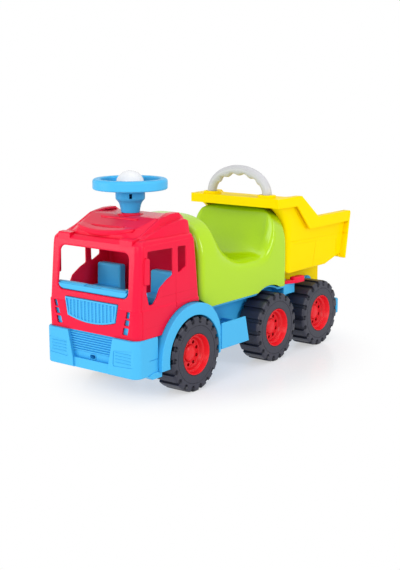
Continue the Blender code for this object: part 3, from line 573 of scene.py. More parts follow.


# Slot, gloss and depth of grain in metres, then a value for each of the surface's inputs
# The last two values of each finish set its painted shade: how far it reaches in metres and how dark it
# gets.
FINISHES = {
    "red": ("red_plastic", 0.13, 0.00004, 0.1, 0.24, 600, 0.04, 0.03, 0.8),
    "rim_red": ("red_plastic", 0.25, 0.00004, 0.1, 0.3, 600, 0.05, 0.02, 0.5),
    "blue": ("blue_plastic", 0.1, 0.00005, 0.08, 0.34, 600, 0.04, 0.06, 0.95),
    "green": ("green_plastic", 0.42, 0.00004, 0.08, 0.2, 500, 0.01, 0.22, 0.5),
    "yellow": ("yellow_plastic", 0.02, 0.00004, 0.06, 0.34, 600, 0.02, 0.012, 0.95),
    "grey": ("grey_plastic", 0.4, 0.00005, 0.06, 0.36, 700, 0.05, 0.02, 0.8),
    "white": ("white_plastic", 0.4, 0.00002, 0.03, 0.25, 700, 0.03, 0.02, 0.8),
    "tyre": ("tyre_plastic", 0.42, 0.0001, 0.2, 0.4, 900, 0.1, 0.012, 0.3),
    "steel": ("steel", 0.5, 0.00002, 0.15, 0.3, 1200, 0.1, 0.02, 0.5),
}


def finish(name):
    """The material of a plastic or steel with its grain, and the name of the slot that it belongs to."""
    slot, gloss, depth, *values = FINISHES[name]
    if name in bpy.data.materials:
        return bpy.data.materials[name], slot
    material = bpy.data.materials.new(name)
    material.use_nodes = True
    nodes, links = material.node_tree.nodes, material.node_tree.links
    shader = nodes["Principled BSDF"]
    surface = nodes.new("ShaderNodeGroup")
    surface.node_tree = surface_group()
    surface.inputs["Color"].default_value = (*getattr(settings().colours, name), 1)
    for title, value in zip(SURFACE_INPUTS, values):
        surface.inputs[title].default_value = value
    bump = nodes.new("ShaderNodeBump")
    bump.inputs["Distance"].default_value = depth
    bump.inputs["Strength"].default_value = 0.6
    links.new(surface.outputs["Color"], shader.inputs["Base Color"])
    links.new(surface.outputs["Roughness"], shader.inputs["Roughness"])
    links.new(surface.outputs["Height"], bump.inputs["Height"])
    links.new(bump.outputs["Normal"], shader.inputs["Normal"])
    shader.inputs["Metallic"].default_value = 1 if name == "steel" else 0
    shader.inputs["Specular IOR Level"].default_value = gloss
    return material, slot


def refinish(node, name):
    """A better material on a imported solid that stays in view."""
    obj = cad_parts[node]
    obj.data.materials.clear()
    obj.data.materials.append(finish(name)[0])


# Wheels


def tyre_shape(wheels):
    """Tyre with lugs across the tread and a U-shaped pocket between each two in the side wall."""
    top = (TYRE_HIGH.z - TYRE_LOW.z) / 2
    half = (TYRE_HIGH.x - TYRE_LOW.x) / 2
    bore = 43.6
    rows = [(half - 1.5, bore), (half - 0.6, bore + 0.8), (half - 0.3, bore + 2.5), (half - 0.3, 60)]
    rows += [(half - 0.9, 60.5), (half - 0.9, 61.2), (half - 0.1, 61.8), (half, 65), (half, 66.4)]
    rows += [(half, 67.1), (half, 67.6), (half, 68.4), (half, 69.4), (half, 71), (half - 0.1, 73)]
    rows += [(half - 0.5, 75.5), (half - 1.5, 77.6), (half - 3.2, top - 0.5), (half - 5.5, top)]
    rows += [(15, top), (8, top), (0, top)]
    rows += [(-x, r) for x, r in rows[-2::-1]]
    wide = wheels.groove_half
    pocket_centre = 71
    fall = 0.6
    tread_foot, tread_rise = 75, 4
    spots = [0, 0.3, 0.55, 0.75, 0.9, 1.08, 1.4]
    pitch = 2 * math.pi / wheels.lugs
    reach = math.asin(wide / top)
    columns = [-s * reach for s in spots[:0:-1]] + [s * reach for s in spots]
    last = spots[-1]
    columns += [reach * last + (pitch - 2 * last * reach) * share for share in (0.25, 0.5, 0.75)]
    rings = []
    for i in range(wheels.lugs):
        for offset in columns:
            angle = (i + 0.5) * pitch + offset - math.pi / 2
            away = (offset + pitch / 2) % pitch - pitch / 2
            ring = []
            for x, r in rows:
                across = r * math.sin(abs(away))
                drop = r - pocket_centre
                edge = across - wide if drop > 0 else math.hypot(across, drop) - wide
                share = clamped(0.5 - edge / fall)
                tread = clamped((r - tread_foot) / tread_rise)
                sunk_x = abs(x) - share * wheels.pocket_depth * (1 - tread)
                sunk_r = r - share * wheels.groove_depth * tread
                place = (math.copysign(sunk_x, x), sunk_r * math.cos(angle), sunk_r * math.sin(angle))
                ring.append(place)
            rings.append(ring)
    return loft(rings, around=True)


def rim_shape(wheels):
    """Dished rim: lip, stepped barrel and a disc with a ring of round holes."""
    half = (TYRE_HIGH.x - TYRE_LOW.x) / 2
    bore = 5.4
    profile = [(half - 0.8, 43.3), (half - 0.1, 43), (half, 42.5), (half - 0.2, 41.9), (half - 1, 41.5)]
    profile += [(18.5, 38.6), (17.2, 37.9), (16.8, 36.9), (16.7, 35.6), (16.2, 34.7), (14.8, 34.1)]
    profile += [(10.4, 32), (9.5, 31.2), (9.1, 30), (9, 28.8), (9, 17.4), (8.2, 16.3), (5.5, 16.2)]
    profile += [(5.5, bore)]
    profile += [(1.5 - half, bore), (1.5 - half, 11), (1.5, 11), (1.5, 34.5), (2.5 - half, 39.5)]
    profile += [(2.5 - half, 43.3)]
    shape = turned(profile, 72, "x")
    for i in range(wheels.holes):
        angle = 2 * math.pi * (i + 0.5) / wheels.holes
        spot = (0, wheels.hole_ring * math.cos(angle), wheels.hole_ring * math.sin(angle))
        shape = cut(shape, cylinder("x", spot, wheels.hole_radius, -5, 14, 16))
    return shape


def cap_shape():
    """Smooth domed hub cap over the axle's end."""
    base = 5.8
    edge, radius, rise = 9.6, 18.4, 6.4
    profile = [(base, 15.6), (8.9, 15.6), (9.15, 18.6), (edge, radius)]
    steps = 12
    for k in range(1, steps):
        angle = math.pi / 2 * k / steps
        profile.append((edge + rise * math.sin(angle) ** 1.1, radius * math.cos(angle) ** 0.8))
    profile.append((edge + rise, 0))
    profile += [(12, 0), (10, 9), (base, 12.6)]
    return turned(profile, 48, "x")


class TRUCK_OT_wheels(bpy.types.Operator):
    """Six wheels: lugged tyres, drilled rims, domed caps, and steel finishes for axles and nuts"""

    bl_idname = "truck.wheels"
    bl_label = "Wheels"

    def execute(self, context):
        wheels = settings().wheels
        tyre = to_mesh("tyre", tyre_shape(wheels), 32)
        rim = to_mesh("rim", rim_shape(wheels))
        cap = to_mesh("hub_cap", cap_shape(), 60)
        for row in ROWS:
            refinish(f"{row}_axle", "steel")
            for side, sign in SIDES.items():
                name = f"{row}_{side}"
                body = f"{name}_wheel"
                turn = Matrix.Rotation(0 if sign > 0 else math.pi, 4, "Z")
                where = Matrix.Translation(Vector((sign * WHEEL_X, AXLE_YS[row], AXLE_Z)) * MM) @ turn
                put(f"{name}_lugged_tyre", tyre, finish("tyre"), body, [f"{name}_tyre"], where)
                put(f"{name}_drilled_rim", rim, finish("rim_red"), body, [f"{name}_rim"], where)
                put(f"{name}_domed_cap", cap, finish("rim_red"), body, [f"{name}_hub_cap"], where)
                refinish(f"{name}_push_nut", "steel")
        return {"FINISHED"}


# Chassis, bumpers, mudguards and steps


BUMPER_LOW, BUMPER_HIGH = measured("front_bumper")


def bumper_shape(body):
    """Wrapping bumper: two pods, a lip, a louvred centre panel, a tow slot and a foot at each side."""
    half = BUMPER_HIGH.x
    front, side, back = BUMPER_LOW.y, BUMPER_HIGH.y, -372
    bottom, top = BUMPER_LOW.z, BUMPER_HIGH.z
    corner = 17
    right = arc((half - corner, front + corner), corner, -90, 0, 8)
    plan = [(-x, y) for x, y in right[::-1]] + right
    wing = half - 6
    plan += [(half, side), (wing, side), (wing, back), (-wing, back), (-wing, side), (-half, side)]
    bumper = prism(plan, "z", bottom, top)

    def outer(edge):
        flat = abs(edge.verts[0].co.z - edge.verts[1].co.z) < 1
        return flat and all(abs(v.co.x) > wing + 1 or v.co.y < front + corner + 1 for v in edge.verts)

    bumper = eased(bumper, 3.2, 3, outer)
    low, high, sill = 49, 61, 81
    deep = front + 10
    lip = [(-47, bottom - 9), (47, bottom - 9), (low, sill), (-low, sill)]
    bumper = cut(bumper, eased(prism(lip, "y", front - 5, front + 4), 1.2, 2))
    panel = [(-low, sill), (low, sill), (high, top - 1), (high + 0.5, top + 5)]
    panel += [(-high - 0.5, top + 5), (-high, top - 1)]
    bumper = cut(bumper, flared(rounded(panel, 2, 3), "y", lambda x, z: front, 1, 1.6, 10))
    first, last = 95, 135
    pitch = (last - first) / body.bumper_ribs
    for i in range(body.bumper_ribs):
        z = first + i * pitch
        width = low + (high - low) * (z - sill) / (top - sill) + 0.5
        louvre = [(deep + 1, z), (deep - 2.6, z + 0.5), (deep - 3.4, z + 1.4), (deep - 2.9, z + 2.6)]
        louvre += [(deep + 1, z + 3.6)]
        bumper = joined(bumper, prism(louvre, "x", -width, width))
    tow = 7.5
    slot = rounded([(-tow, 82.5), (tow, 82.5), (tow, 91), (-tow, 91)], 3.9, 5)
    ring = grown(slot, 1.8)
    bumper = joined(bumper, eased(prism(ring, "y", deep - 1.2, deep + 2), 0.6, 2))
    bumper = cut(bumper, prism(slot, "y", front - 5, back + 5))
    for sign in SIDES.values():
        lamp = [(sign * 61.5, 80), (sign * 115, 83), (sign * 115, 117), (sign * 64, 112)]
        bumper = cut(bumper, flared(rounded(lamp, 4, 3), "y", lambda x, z: front, 1, 0.7, 1.4))
        reach = span(sign, 68, 108)
        for z in (88, 94.5, 101, 107.5):
            bar = [(front + 2.4, z), (front + 0.2, z + 0.6), (front + 0.2, z + 1.7), (front + 2.4, z + 2.3)]
            bumper = joined(bumper, prism(bar, "x", *reach))
        seam = span(sign, half - 0.9, half + 5)
        bumper = cut(bumper, box(seam, (back, side + 5), (91.5, 93)))
        foot = [(-378, bottom + 1), (-366, 52.5), (-336, 52.5), (-336, bottom + 6), (-360, bottom + 6)]
        reach = span(sign, half - 14, half + 2)
        bumper = joined(bumper, eased(prism(foot, "x", *reach), 1.5, 2))
    return bumper


def mudguard_outline(inset, steps):
    """Arch band round the front wheel: even in front and over the top, narrowing down its rear leg."""
    centre = (AXLE_YS["front"], AXLE_Z)
    foot, turn = 65, 60
    low = foot - AXLE_Z + inset
    outer = []
    wide, narrow = 108 - inset, 88 - inset
    first = 180 - math.degrees(math.asin(low / wide))
    last = math.degrees(math.asin(low / narrow))
    for i in range(steps + 1):
        angle = first + (last - first) * i / steps
        narrowing = clamped((turn - angle) / (turn - last))
        radius = wide + (narrow - wide) * narrowing
        outer.append(arc(centre, radius, angle, angle, 1)[0])
    arch = 82.5 + inset
    dip = math.degrees(math.asin(low / arch))
    return outer + arc(centre, arch, dip, 180 - dip, steps)


def mudguard_shape(side, easing):
    """Front mudguard: the arch band as a hollow shell, rounded at its outer face."""
    low, high = measured(f"{side}_mudguard")
    sign = SIDES[side]
    inner, outer = sorted((abs(low.x), abs(high.x)))
    steps = 48
    shell = prism(mudguard_outline(0, steps), "x", *span(sign, inner, outer))
    shell = eased(shell, easing, 3, lambda e: min(abs(v.co.x) for v in e.verts) > outer - 1)
    hollow = prism(mudguard_outline(2, steps), "x", *span(sign, inner - 5, outer - WALL))
    return cut(shell, hollow)


def step_shape(side):
    """Foot step: a long outer plate with a rolled top, a shelf behind it and ribs back to the frame."""
    low, high = measured(f"{side}_side_step")
    sign = SIDES[side]
    inner, outer = sorted((abs(low.x), abs(high.x)))
    front, rear, bottom, top = low.y, high.y, low.z, high.z
    tip = front - 6
    plate = [(tip, bottom), (rear, bottom), (rear - 14, top), (tip, top)]
    step = eased(prism(plate, "x", *span(sign, outer - WALL, outer)), 1.4, 3)
    across = span(sign, inner, outer - 1)
    shelf = eased(box(across, (front + 4, rear - 12), (100, 104)), 0.8, 2)
    step = joined(step, shelf)
    for y in (front + 8, (front + rear) / 2, rear - 22):
        step = joined(step, box(across, (y, y + 4), (bottom + 6, 118)))
    return step


def rear_bumper_shape():
    """Plain rear bar with a shallow lamp recess at each end."""
    low, high = measured("rear_bumper")
    half = high.x
    plan = [(-half, low.y), (half, low.y), (half, low.y + 9), (half - 6, high.y), (-half + 6, high.y)]
    plan += [(-half, low.y + 9)]
    bar = eased(prism(plan, "z", low.z, high.z), 2, 3)
    for sign in SIDES.values():
        near, far = sign * (half - 34), sign * (half - 10)
        foot, top = low.z + 8, high.z - 8
        lamp = rounded([(near, foot), (far, foot), (far, top), (near, top)], 3, 3)
        bar = cut(bar, flared(lamp, "y", lambda x, z: high.y, -1, 1, 3))
    return bar


def hinge_head_shape(side):
    """Hinge pin with a broad dished head."""
    low, high = measured(f"{side}_hinge_pin")
    sign = SIDES[side]
    tip, end = sorted((abs(low.x), abs(high.x)))
    radius = (high.y - low.y) / 2
    centre = (0, (low.y + high.y) / 2, (low.z + high.z) / 2)
    profile = [(tip, 0), (tip, 5), (end - 2.5, 5), (end - 2.5, radius), (end - 1, radius)]
    profile += [(end - 0.3, radius - 0.6), (end, radius - 1.8), (end, 6), (end - 0.8, 5), (end - 0.8, 0)]
    return turned([(sign * x, r) for x, r in profile], 40, "x", centre)


class TRUCK_OT_underbody(bpy.types.Operator):
    """Blue bumpers, mudguards, steps and hinge heads, with finishes for the frame and its screws"""

    bl_idname = "truck.underbody"
    bl_label = "Underbody"

    def execute(self, context):
        body = settings().body
        blue = finish("blue")
        refinish("chassis_frame", "blue")
        for node in ("seat_screw_front", "seat_screw_rear", "lever_pin"):
            refinish(node, "steel")
        put("louvred_bumper", to_mesh("bumper", bumper_shape(body)), blue, "chassis", ["front_bumper"])
        put("tail_bumper", to_mesh("tail_bumper", rear_bumper_shape()), blue, "chassis", ["rear_bumper"])
        for side in SIDES:
            guard = to_mesh("mudguard", mudguard_shape(side, body.easing))
            put(f"{side}_wheel_arch", guard, blue, "chassis", [f"{side}_mudguard"])
            step = to_mesh("step", step_shape(side))
            put(f"{side}_foot_step", step, blue, "chassis", [f"{side}_side_step"])
            head = to_mesh("hinge_head", hinge_head_shape(side))
            put(f"{side}_hinge_head", head, blue, "chassis", [f"{side}_hinge_pin"])
        return {"FINISHED"}


# Cab


CAB_FOOT = measured("cab_shell")[0].z
SIDE_FACE = 121.9
THROUGH = 30
ARCH_RADIUS = 110
ROOF_SLOPE = 18 / 51
ROOF_MIDDLE = -300
ROOF_OPEN = 320
# Height, front, rear, half widths at the front corner and at the side, and where the side steps out
CAB_LEVELS = (
    (CAB_FOOT, -404, -204, 121.6, 123, -388),
    (192.6, -405.4, -205.4, 122, 123.5, -388),
    (194, -405.5, -205.5, 121.8, 123.3, -389),
    (196.4, -404.2, -206.3, 120.6, 122.2, -396),
    (197.4, -404, -206.5, 120.4, 122, -396),
    (271, -397.3, -214.2, 120.1, 121.7, -392),
    (307, -394, -218, 119.9, 121.5, -389),
    (313, -393.3, -218.6, 119.6, 121.2, -387.5),
    (317, -392.7, -219, 119.2, 120.9, -384),
    (319.6, -392.4, -219.3, 118.8, 120.5, -379),
    (320.8, -392.2, -219.4, 118.6, 119.8, -374),
    (321.6, -392.1, -219.5, 118.3, 118.5, -371),
    (323.4, -390.6, -219.7, 117.9, 118.1, -371),
    (327.4, -386.2, -220.4, 116, 116.4, -371),
    (329.6, -382.6, -221, 113.4, 114, -366),
    (330.6, -376, -221.5, 108, 111, -360),
)
# Middle, half width and half height of each lamp slot, and how far its top leans out
LAMP_SLOTS = ((98.5, 187, 4.6, 6.8), (95.2, 171, 5.8, 6), (90.8, 153, 6.8, 7.4))
LAMP_LEAN = 1.6
FRONT_FACE = ((CAB_FOOT, -404), (194, -405.5), (197, -404), (307, -394), (325, -391.5))


def front_face(x, z):
    """Place of the cab's front surface at a height."""
    return stepped(FRONT_FACE, z)


def cab_ring(level, inset):
    """One level of the cab: rounded corners, and sides that step out a little behind the front corner."""
    z, front, rear, front_half, side_half, ridge = level
    radius, tight = 13 - inset, 9 - inset
    front_half -= inset
    side_half -= inset
    front += inset
    rear -= inset
    roof = 310
    if z > roof:
        z -= inset
    right = arc((front_half - radius, front + radius), radius, -90, 0, 8)
    ridge = max(ridge, right[-1][1] + 0.8)
    right += [(front_half + 0.01, ridge - 0.4), (side_half - 0.35, ridge + 0.2), (side_half, ridge + 1.2)]
    right += arc((side_half - tight, rear - tight), tight, 0, 90, 5)
    ring = right + [(-x, y) for x, y in right[::-1]]
    return [(x, y, z) for x, y in ring]


# Place along the roof, then x and height of the panel's edge, the groove, the ramp, its step and its foot
ROOF_STATIONS = (
    (-378, 60, 336.5, 78, 330, 80, 330, 90, 330, 95, 329.6, 101.7, 328.9, 106, 326),
    (-372, 66, 340.5, 84, 332, 86, 332.5, 91, 332.5, 96, 331.8, 102.5, 331.1, 107, 326),
    (-358, 73, 346, 91, 337, 92.5, 338, 96, 338, 99, 335.5, 106, 334.2, 110, 326),
    (-307, 86, 364, 91.5, 361.5, 92.5, 362, 96, 362, 99, 351, 108, 349.5, 112, 326),
    (-302, 86.5, 365.2, 90, 364, 91, 365, 96, 364.5, 98.5, 352.5, 108, 351, 112, 326),
    (-288, 80, 366, 82, 366, 86, 368, 95.5, 367.5, 98.5, 355, 108, 353.5, 112, 326),
    (-264, 73, 366, 75, 366, 79, 372, 94, 371.5, 97.5, 358.5, 108, 357, 112, 326),
    (-240, 73, 366, 75, 366, 79, 372, 94, 371.5, 97.5, 361, 108, 359.5, 112, 326),
    (-232, 74, 365.5, 76, 365.5, 80, 367, 93, 366.5, 97, 359, 107, 357.5, 111.5, 326),
    (-225, 74, 362, 76, 362, 80, 362.5, 92, 362, 96, 356, 106, 354.5, 111, 326),
)


def roof_shape():
    """Roof fairing: a sloped middle panel and stepped ramps that rise to a crest at each side."""
    rings = []
    for y, *spots in ROOF_STATIONS:
        right = list(zip(spots[::2], spots[1::2]))
        ring = [(x, y, z) for x, z in right]
        rings.append(ring[::-1] + [(-x, y, z) for x, _, z in ring])
    return eased(loft(rings), 0.8, 2, limit=7)


def roof_lip():
    """Bowed bead along the foot of the roof's slope."""
    section = [(14, -10), (0, -10), (-3, -8.6), (-4.6, -5.5), (-4.8, -2), (-3.8, 0.6), (-1.6, 2.4)]
    section += [(2, 3.4), (14, 5.5)]
    half, taper = 76, 0.15
    rings = []
    steps = 24
    for i in range(steps + 1):
        share = 2 * i / steps - 1
        close = 1 - 0.6 * max(0, abs(share) - (1 - taper)) / taper
        y = -377 + 17 * share**2
        z = 341 + 6.5 * share**2
        rings.append([(half * share, y + a * close, z + b * close) for a, b in section])
    return loft(rings)


def roof_bar(half, y):
    """Raised strip across the roof's slope."""
    z = 346 + (y + 358) * ROOF_SLOPE
    strip = [(y - 3.4, z - 6), (y - 3.4, z + 0.4), (y - 2, z + 1.9), (y + 1, z + 2.9)]
    strip += [(y + 3.4, z + 2), (y + 3.4, z - 6)]
    return eased(prism(strip, "x", -half, half), 0.8, 2)


def cab_shape():
    """Red cab: rounded shell with door panels, roof fairing, flared window mouths and wheel arches."""
    shell = loft([cab_ring(level, 0) for level in CAB_LEVELS])
    shell = joined(shell, roof_shape(), roof_lip())
    for half, y in ((43, -352), (48.6, -316)):
        shell = joined(shell, roof_bar(half, y))
    visor = [(-388, 316), (-392.6, 318), (-391.8, 331), (-389.5, 333.4), (-378, 334.4), (-366, 333)]
    visor += [(-366, 316)]
    for sign in SIDES.values():
        block = prism(visor, "x", *span(sign, 67, 101))
        shell = joined(shell, eased(block, 1, 2))
    boss = [(362, 0), (362, 27), (366.6, 27), (367.6, 26), (368, 24), (368.2, 22.6), (369, 22), (369, 0)]
    shell = joined(shell, turned(boss, 48, "z", (0, STEERING_Y, 0)))
    below = 12
    hollow = [(CAB_FOOT - below, *CAB_LEVELS[0][1:]), *CAB_LEVELS[1:]]
    shell = cut(shell, loft([cab_ring(level, WALL) for level in hollow]), roof_hollow())
    screen = [(-96, 217), (96, 217), (93, 307), (-93, 307)]
    door = [(-371, 310), (-293, 308), (-293, 253), (-311, 246), (-334, 232), (-345, 213), (-355, 203)]
    door += [(-368, 203), (-375, 229)]
    quarter = [(-278, 309), (-251, 308), (-250, 266), (-277, 254)]
    shell = cut(shell, flared(rounded(screen, 13, 6), "y", front_face, 1, 3, THROUGH))
    for sign in SIDES.values():
        for outline in (rounded(door, 4, 4), rounded(quarter, 4, 4)):
            mouth = flared(outline, "x", lambda y, z: sign * SIDE_FACE, -sign, 1.4, THROUGH)
            shell = cut(shell, mouth)
        for x, z, wide, tall in LAMP_SLOTS:
            slot = [(x - wide - LAMP_LEAN, z - tall), (x + wide - LAMP_LEAN, z - tall)]
            slot += [(x + wide + LAMP_LEAN, z + tall), (x - wide + LAMP_LEAN, z + tall)]
            slot = rounded([(sign * a, b) for a, b in slot], 1.2, 2)
            shell = cut(shell, flared(slot, "y", front_face, 1, 0.7, THROUGH))
        shell = cut(shell, *door_seams(sign))
        shell = joined(shell, mirror_shape(sign))
    shell = cut(shell, flared(grille_outline(0), "y", front_face, 1, 1.4, THROUGH))
    arch = cylinder("x", (0, AXLE_YS["front"], AXLE_Z), ARCH_RADIUS, *ACROSS, 96)
    bore = cylinder("z", (0, STEERING_Y, 0), 12.4, 330, 400)
    return cut(shell, arch, bore)


def roof_hollow():
    """Space under the fairing, a wall's thickness in."""
    rings = []
    for y, *spots in ROOF_STATIONS:
        right = list(zip(spots[::2], spots[1::2]))
        at = y + WALL if y < ROOF_MIDDLE else y - WALL
        inner = [(max(0, x - WALL), at, z - WALL) for x, z in right[:-1]]
        inner.append((right[-1][0] - WALL, at, ROOF_OPEN))
        rings.append(inner[::-1] + [(-x, at, z) for x, _, z in inner])
    return loft(rings)


def door_seams(sign):
    """Fine grooves of the door: its rear edge, the belt line and the sill line."""
    deep = span(sign, 121.6, 130)
    upright = box(deep, (-285, -284), (186, 262))
    belt = box(deep, (-335, -200), (214, 215))
    sill = box(span(sign, 123, 130), (-381, -326), (158, 159))
    return upright, belt, sill


def mirror_shape(sign):
    """Upright moulded mirror on the front post, by the door window."""
    outline = rounded([(-384, 246), (-368, 244), (-367, 296), (-381, 300)], [4, 3, 4, 5], 4)
    relief = prism(outline, "x", *span(sign, 118, 124.6))
    return eased(relief, 1.6, 3, lambda e: min(abs(v.co.x) for v in e.verts) > 123)


def grille_outline(inset):
    """Trapezoid with its lower edge bowed down."""
    bottom, top = 166, 204.4
    low, high = 65.5 - inset, 72 - inset
    edge = []
    bow, steps = 10, 6
    for i in range(2 * steps + 1):
        across = i / steps - 1
        edge.append((across * low, bottom + inset - bow * (1 - across**2)))
    return edge + [(high, top - inset), (-high, top - inset)]


def grille_shape(body):
    """Grille insert: a raised frame round upright ribs, with fine cross bars between them."""
    low, high = measured("grille_panel")
    plate, face = -399.4, -404
    panel = box((low.x, high.x), (plate, plate + 3), (low.z, high.z))
    panel = joined(panel, prism(grille_outline(0.5), "y", face, plate + 1))
    border = eased(prism(grille_outline(0.6), "y", face - 2.4, face + 1.5), 0.8, 2)
    border = cut(border, prism(grille_outline(4), "y", face - 9, face + 9))
    panel = joined(panel, border)
    rib_half = 59.5
    pitch = 2 * rib_half / (body.grille_ribs - 1)
    bars, first, apart = 12, 160, 3.4
    for k in range(bars):
        z = first + apart * k
        wide = 62 if z > 166 else 40
        panel = joined(panel, box((-wide, wide), (face - 0.9, face + 1), (z, z + 1.5)))
    for i in range(body.grille_ribs):
        x = (i - (body.grille_ribs - 1) / 2) * pitch
        foot = 168 - 9.5 * (1 - (x / 65) ** 2)
        rib = [(x - 2.4, face + 1), (x - 2.0, face - 1.6), (x - 1.2, face - 2.2), (x + 1.2, face - 2.2)]
        rib += [(x + 2.0, face - 1.6), (x + 2.4, face + 1)]
        panel = joined(panel, prism(rib, "z", foot, 202))
    return panel


def dash_shape():
    """Floor, bulkhead and a dashboard with a rolled lip and two raised strips on top."""
    half, foot = 72, 160.3
    floor = box((-half, half), (-366, -210), (foot, foot + 4))
    bulkhead = box((-half, half), (-366, -361), (foot, 220))
    top = [(-396, 214), (-396, 228), (-393, 231), (-384, 231.5), (-352, 222), (-360, 212)]
    dash = eased(prism(top, "x", -106, 106), 1, 2)
    right = [(78, 218.5), (86, 219.8), (91, 223), (93.4, 227.5), (93.6, 229.5)]
    lip = prism(right + [(-x, z) for x, z in right[::-1]], "y", -401.5, -394)
    lip = eased(lip, 1.6, 3, lambda e: max(v.co.y for v in e.verts) < -400)
    dash = joined(dash, floor, bulkhead, lip)
    for sign in SIDES.values():
        strip = [(-399.2, 225.3), (-399.2, 230.6), (-396.6, 232.4), (-387.6, 233.1), (-387.6, 225.3)]
        dash = joined(dash, eased(prism(strip, "x", *span(sign, 24, 88)), 0.8, 2))
    return dash


def seat_shape(side):
    """Cab seat: rounded cushion and backrest on a pedestal."""
    low, high = measured(f"{side}_cab_seat")
    sign = SIDES[side]
    x = span(sign, 42, 108)
    foot = span(sign, 47, 71)
    back = eased(prism([(-273, 193), (-252, 193), (-250.5, high.z), (-271, high.z)], "x", *x), 5, 5)
    cushion = eased(prism([(-316, 191), (-262, 191), (-262, 205), (-312, 207)], "x", *x), 4.5, 4)
    pedestal = box(foot, (-308, -260), (low.z, 196))
    return joined(cushion, back, pedestal)


class TRUCK_OT_cab(bpy.types.Operator):
    """Red cab shell with its grille, dashboard and seats"""

    bl_idname = "truck.cab"
    bl_label = "Cab"

    def execute(self, context):
        body = settings().body
        blue = finish("blue")
        put("cab_moulding", to_mesh("cab", cab_shape(), 24), finish("red"), "chassis", ["cab_shell"])
        put("ribbed_grille", to_mesh("grille", grille_shape(body)), blue, "chassis", ["grille_panel"])
        put("dashboard", to_mesh("dashboard", dash_shape()), blue, "chassis", ["cab_interior"])
        for side in SIDES:
            seat = to_mesh("seat", seat_shape(side))
            put(f"{side}_rounded_seat", seat, blue, "chassis", [f"{side}_cab_seat"])
        return {"FINISHED"}


# Saddle


SADDLE_LOW, SADDLE_HIGH = measured("seat_saddle")
DIP_Y, DIP_Z = -20, 249
BOWL_HALF, BOWL_SAG = 95, 8
BOWL_LONG = 80
FRONT_CREST = (-141, 355)
REAR_CREST = (81, 348)
SADDLE_ARCHES = {"front": 112, "middle": 96}
# Place along the saddle and squareness of its arch there
SADDLE_POWERS = ((-198, 2.9), (-110, 3.1), (-40, 4.6), (10, 4.6), (81, 4.2), (130, 2.8))


def saddle_floor(y):
    """Underside of the saddle, arched over the front and middle wheel housings."""
    floor = SADDLE_LOW.z
    for row, radius in SADDLE_ARCHES.items():
        across = y - AXLE_YS[row]
        if abs(across) < radius:
            floor = max(floor, AXLE_Z + math.sqrt(radius**2 - across**2))
    return floor


def saddle_rise(x, y, dish):
    """Height of the saddle over its dip: front hump, bowl, and a backrest that curves in at its middle."""
    across = min(1, abs(x) / BOWL_HALF)
    bowl = BOWL_SAG * max(0, 1 - ((y - DIP_Y) / BOWL_LONG) ** 2) ** 2 * (1 - across**2)
    if y < DIP_Y:
        share = (DIP_Y - y) / (DIP_Y - FRONT_CREST[0])
        full = FRONT_CREST[1] - DIP_Z
        return soft_min(full * share**2.35, full + 1.5, 12) - bowl
    behind = y - DIP_Y
    inward = dish * (1 - across**4) * min(1, behind / 70)
    share = (behind - inward) / (REAR_CREST[0] - DIP_Y)
    full = REAR_CREST[1] - DIP_Z
    steep = 5 - 2.9 * (1 - across**4)
    return soft_min(full * share**steep, full + 2.5, 16) - bowl


def saddle_ring(y, inset, dish):
    """One arch across the saddle, drawn in by an inset near its ends."""
    half = SADDLE_HIGH.x - inset
    edge = 112
    shoulder = DIP_Z - 40 + saddle_rise(edge, y, 0) * (1 - 80 / edge)
    power = 2 / stepped(SADDLE_POWERS, y)
    steps = 56
    ring = [(-half, y, saddle_floor(y) + inset * 0.3)]
    for i in range(steps + 1):
        angle = math.pi * (1 - i / steps)
        across = half * math.copysign(abs(math.cos(angle)) ** power, math.cos(angle))
        top = DIP_Z + saddle_rise(across, y, dish) - inset
        ring.append((across, y, shoulder + (top - shoulder) * math.sin(angle) ** power))
    return ring + [(half, y, saddle_floor(y) + inset * 0.3)]


def saddle_shape(body):
    """Ride-on saddle: rounded ends, two humps and a dished backrest."""
    front, rear = SADDLE_LOW.y, SADDLE_HIGH.y
    front_round, rear_round = 17, 9
    front_steps, rear_steps, apart = 9, 8, 3.2
    places = []
    for k in range(front_steps):
        angle = math.pi / 2 * k / front_steps
        places.append((front + front_round * (1 - math.cos(angle)), front_round * (1 - math.sin(angle))))
    y = front + front_round
    while y < rear - rear_round - 1:
        places.append((y, 0))
        y += apart
    for k in range(rear_steps, -1, -1):
        angle = math.pi / 2 * k / rear_steps
        places.append((rear - rear_round * (1 - math.cos(angle)), rear_round * (1 - math.sin(angle))))
    return loft([saddle_ring(y, inset, body.dish_depth) for y, inset in places])


class TRUCK_OT_saddle(bpy.types.Operator):
    """Green ride-on saddle with a dished backrest"""

    bl_idname = "truck.saddle"
    bl_label = "Saddle"

    def execute(self, context):
        mesh = to_mesh("saddle", saddle_shape(settings().body), 50)
        put("dished_saddle", mesh, finish("green"), "chassis", ["seat_saddle"])
        return {"FINISHED"}


# Steering


def steering_wheel_shape():
    """Deep rounded rim, three spokes and a cup for the button."""
    low, high = measured("steering_wheel")
    centre = (0, STEERING_Y, 0)
    outer, inner = high.x, high.x - 16
    foot, top = low.z + 4.7, high.z
    section = [(inner, foot), (outer, foot), (outer, top), (inner, top)]
    profile = [(z, r) for r, z in rounded(section, [4, 3.5, 6, 4.5], 6)]
    wheel = turned(profile, 96, "z", centre)
    floor = low.z
    cup = [(floor, 0), (floor, 34), (floor + 1, 35), (426.5, 35), (427.6, 34.4), (428, 33.4), (428, 31.6)]
    cup += [(427, 30.7), (floor + 4, 30.7), (floor + 4, 0)]
    hub = turned(cup, 64, "z", centre)
    for i in range(3):
        spoke = eased(box((-11, 11), (32.5, inner + 5), (419, 427)), 2.4, 3)
        hub = joined(hub, swung(spoke, math.pi + 2 * math.pi * i / 3, "Z", centre))
    return joined(wheel, hub)


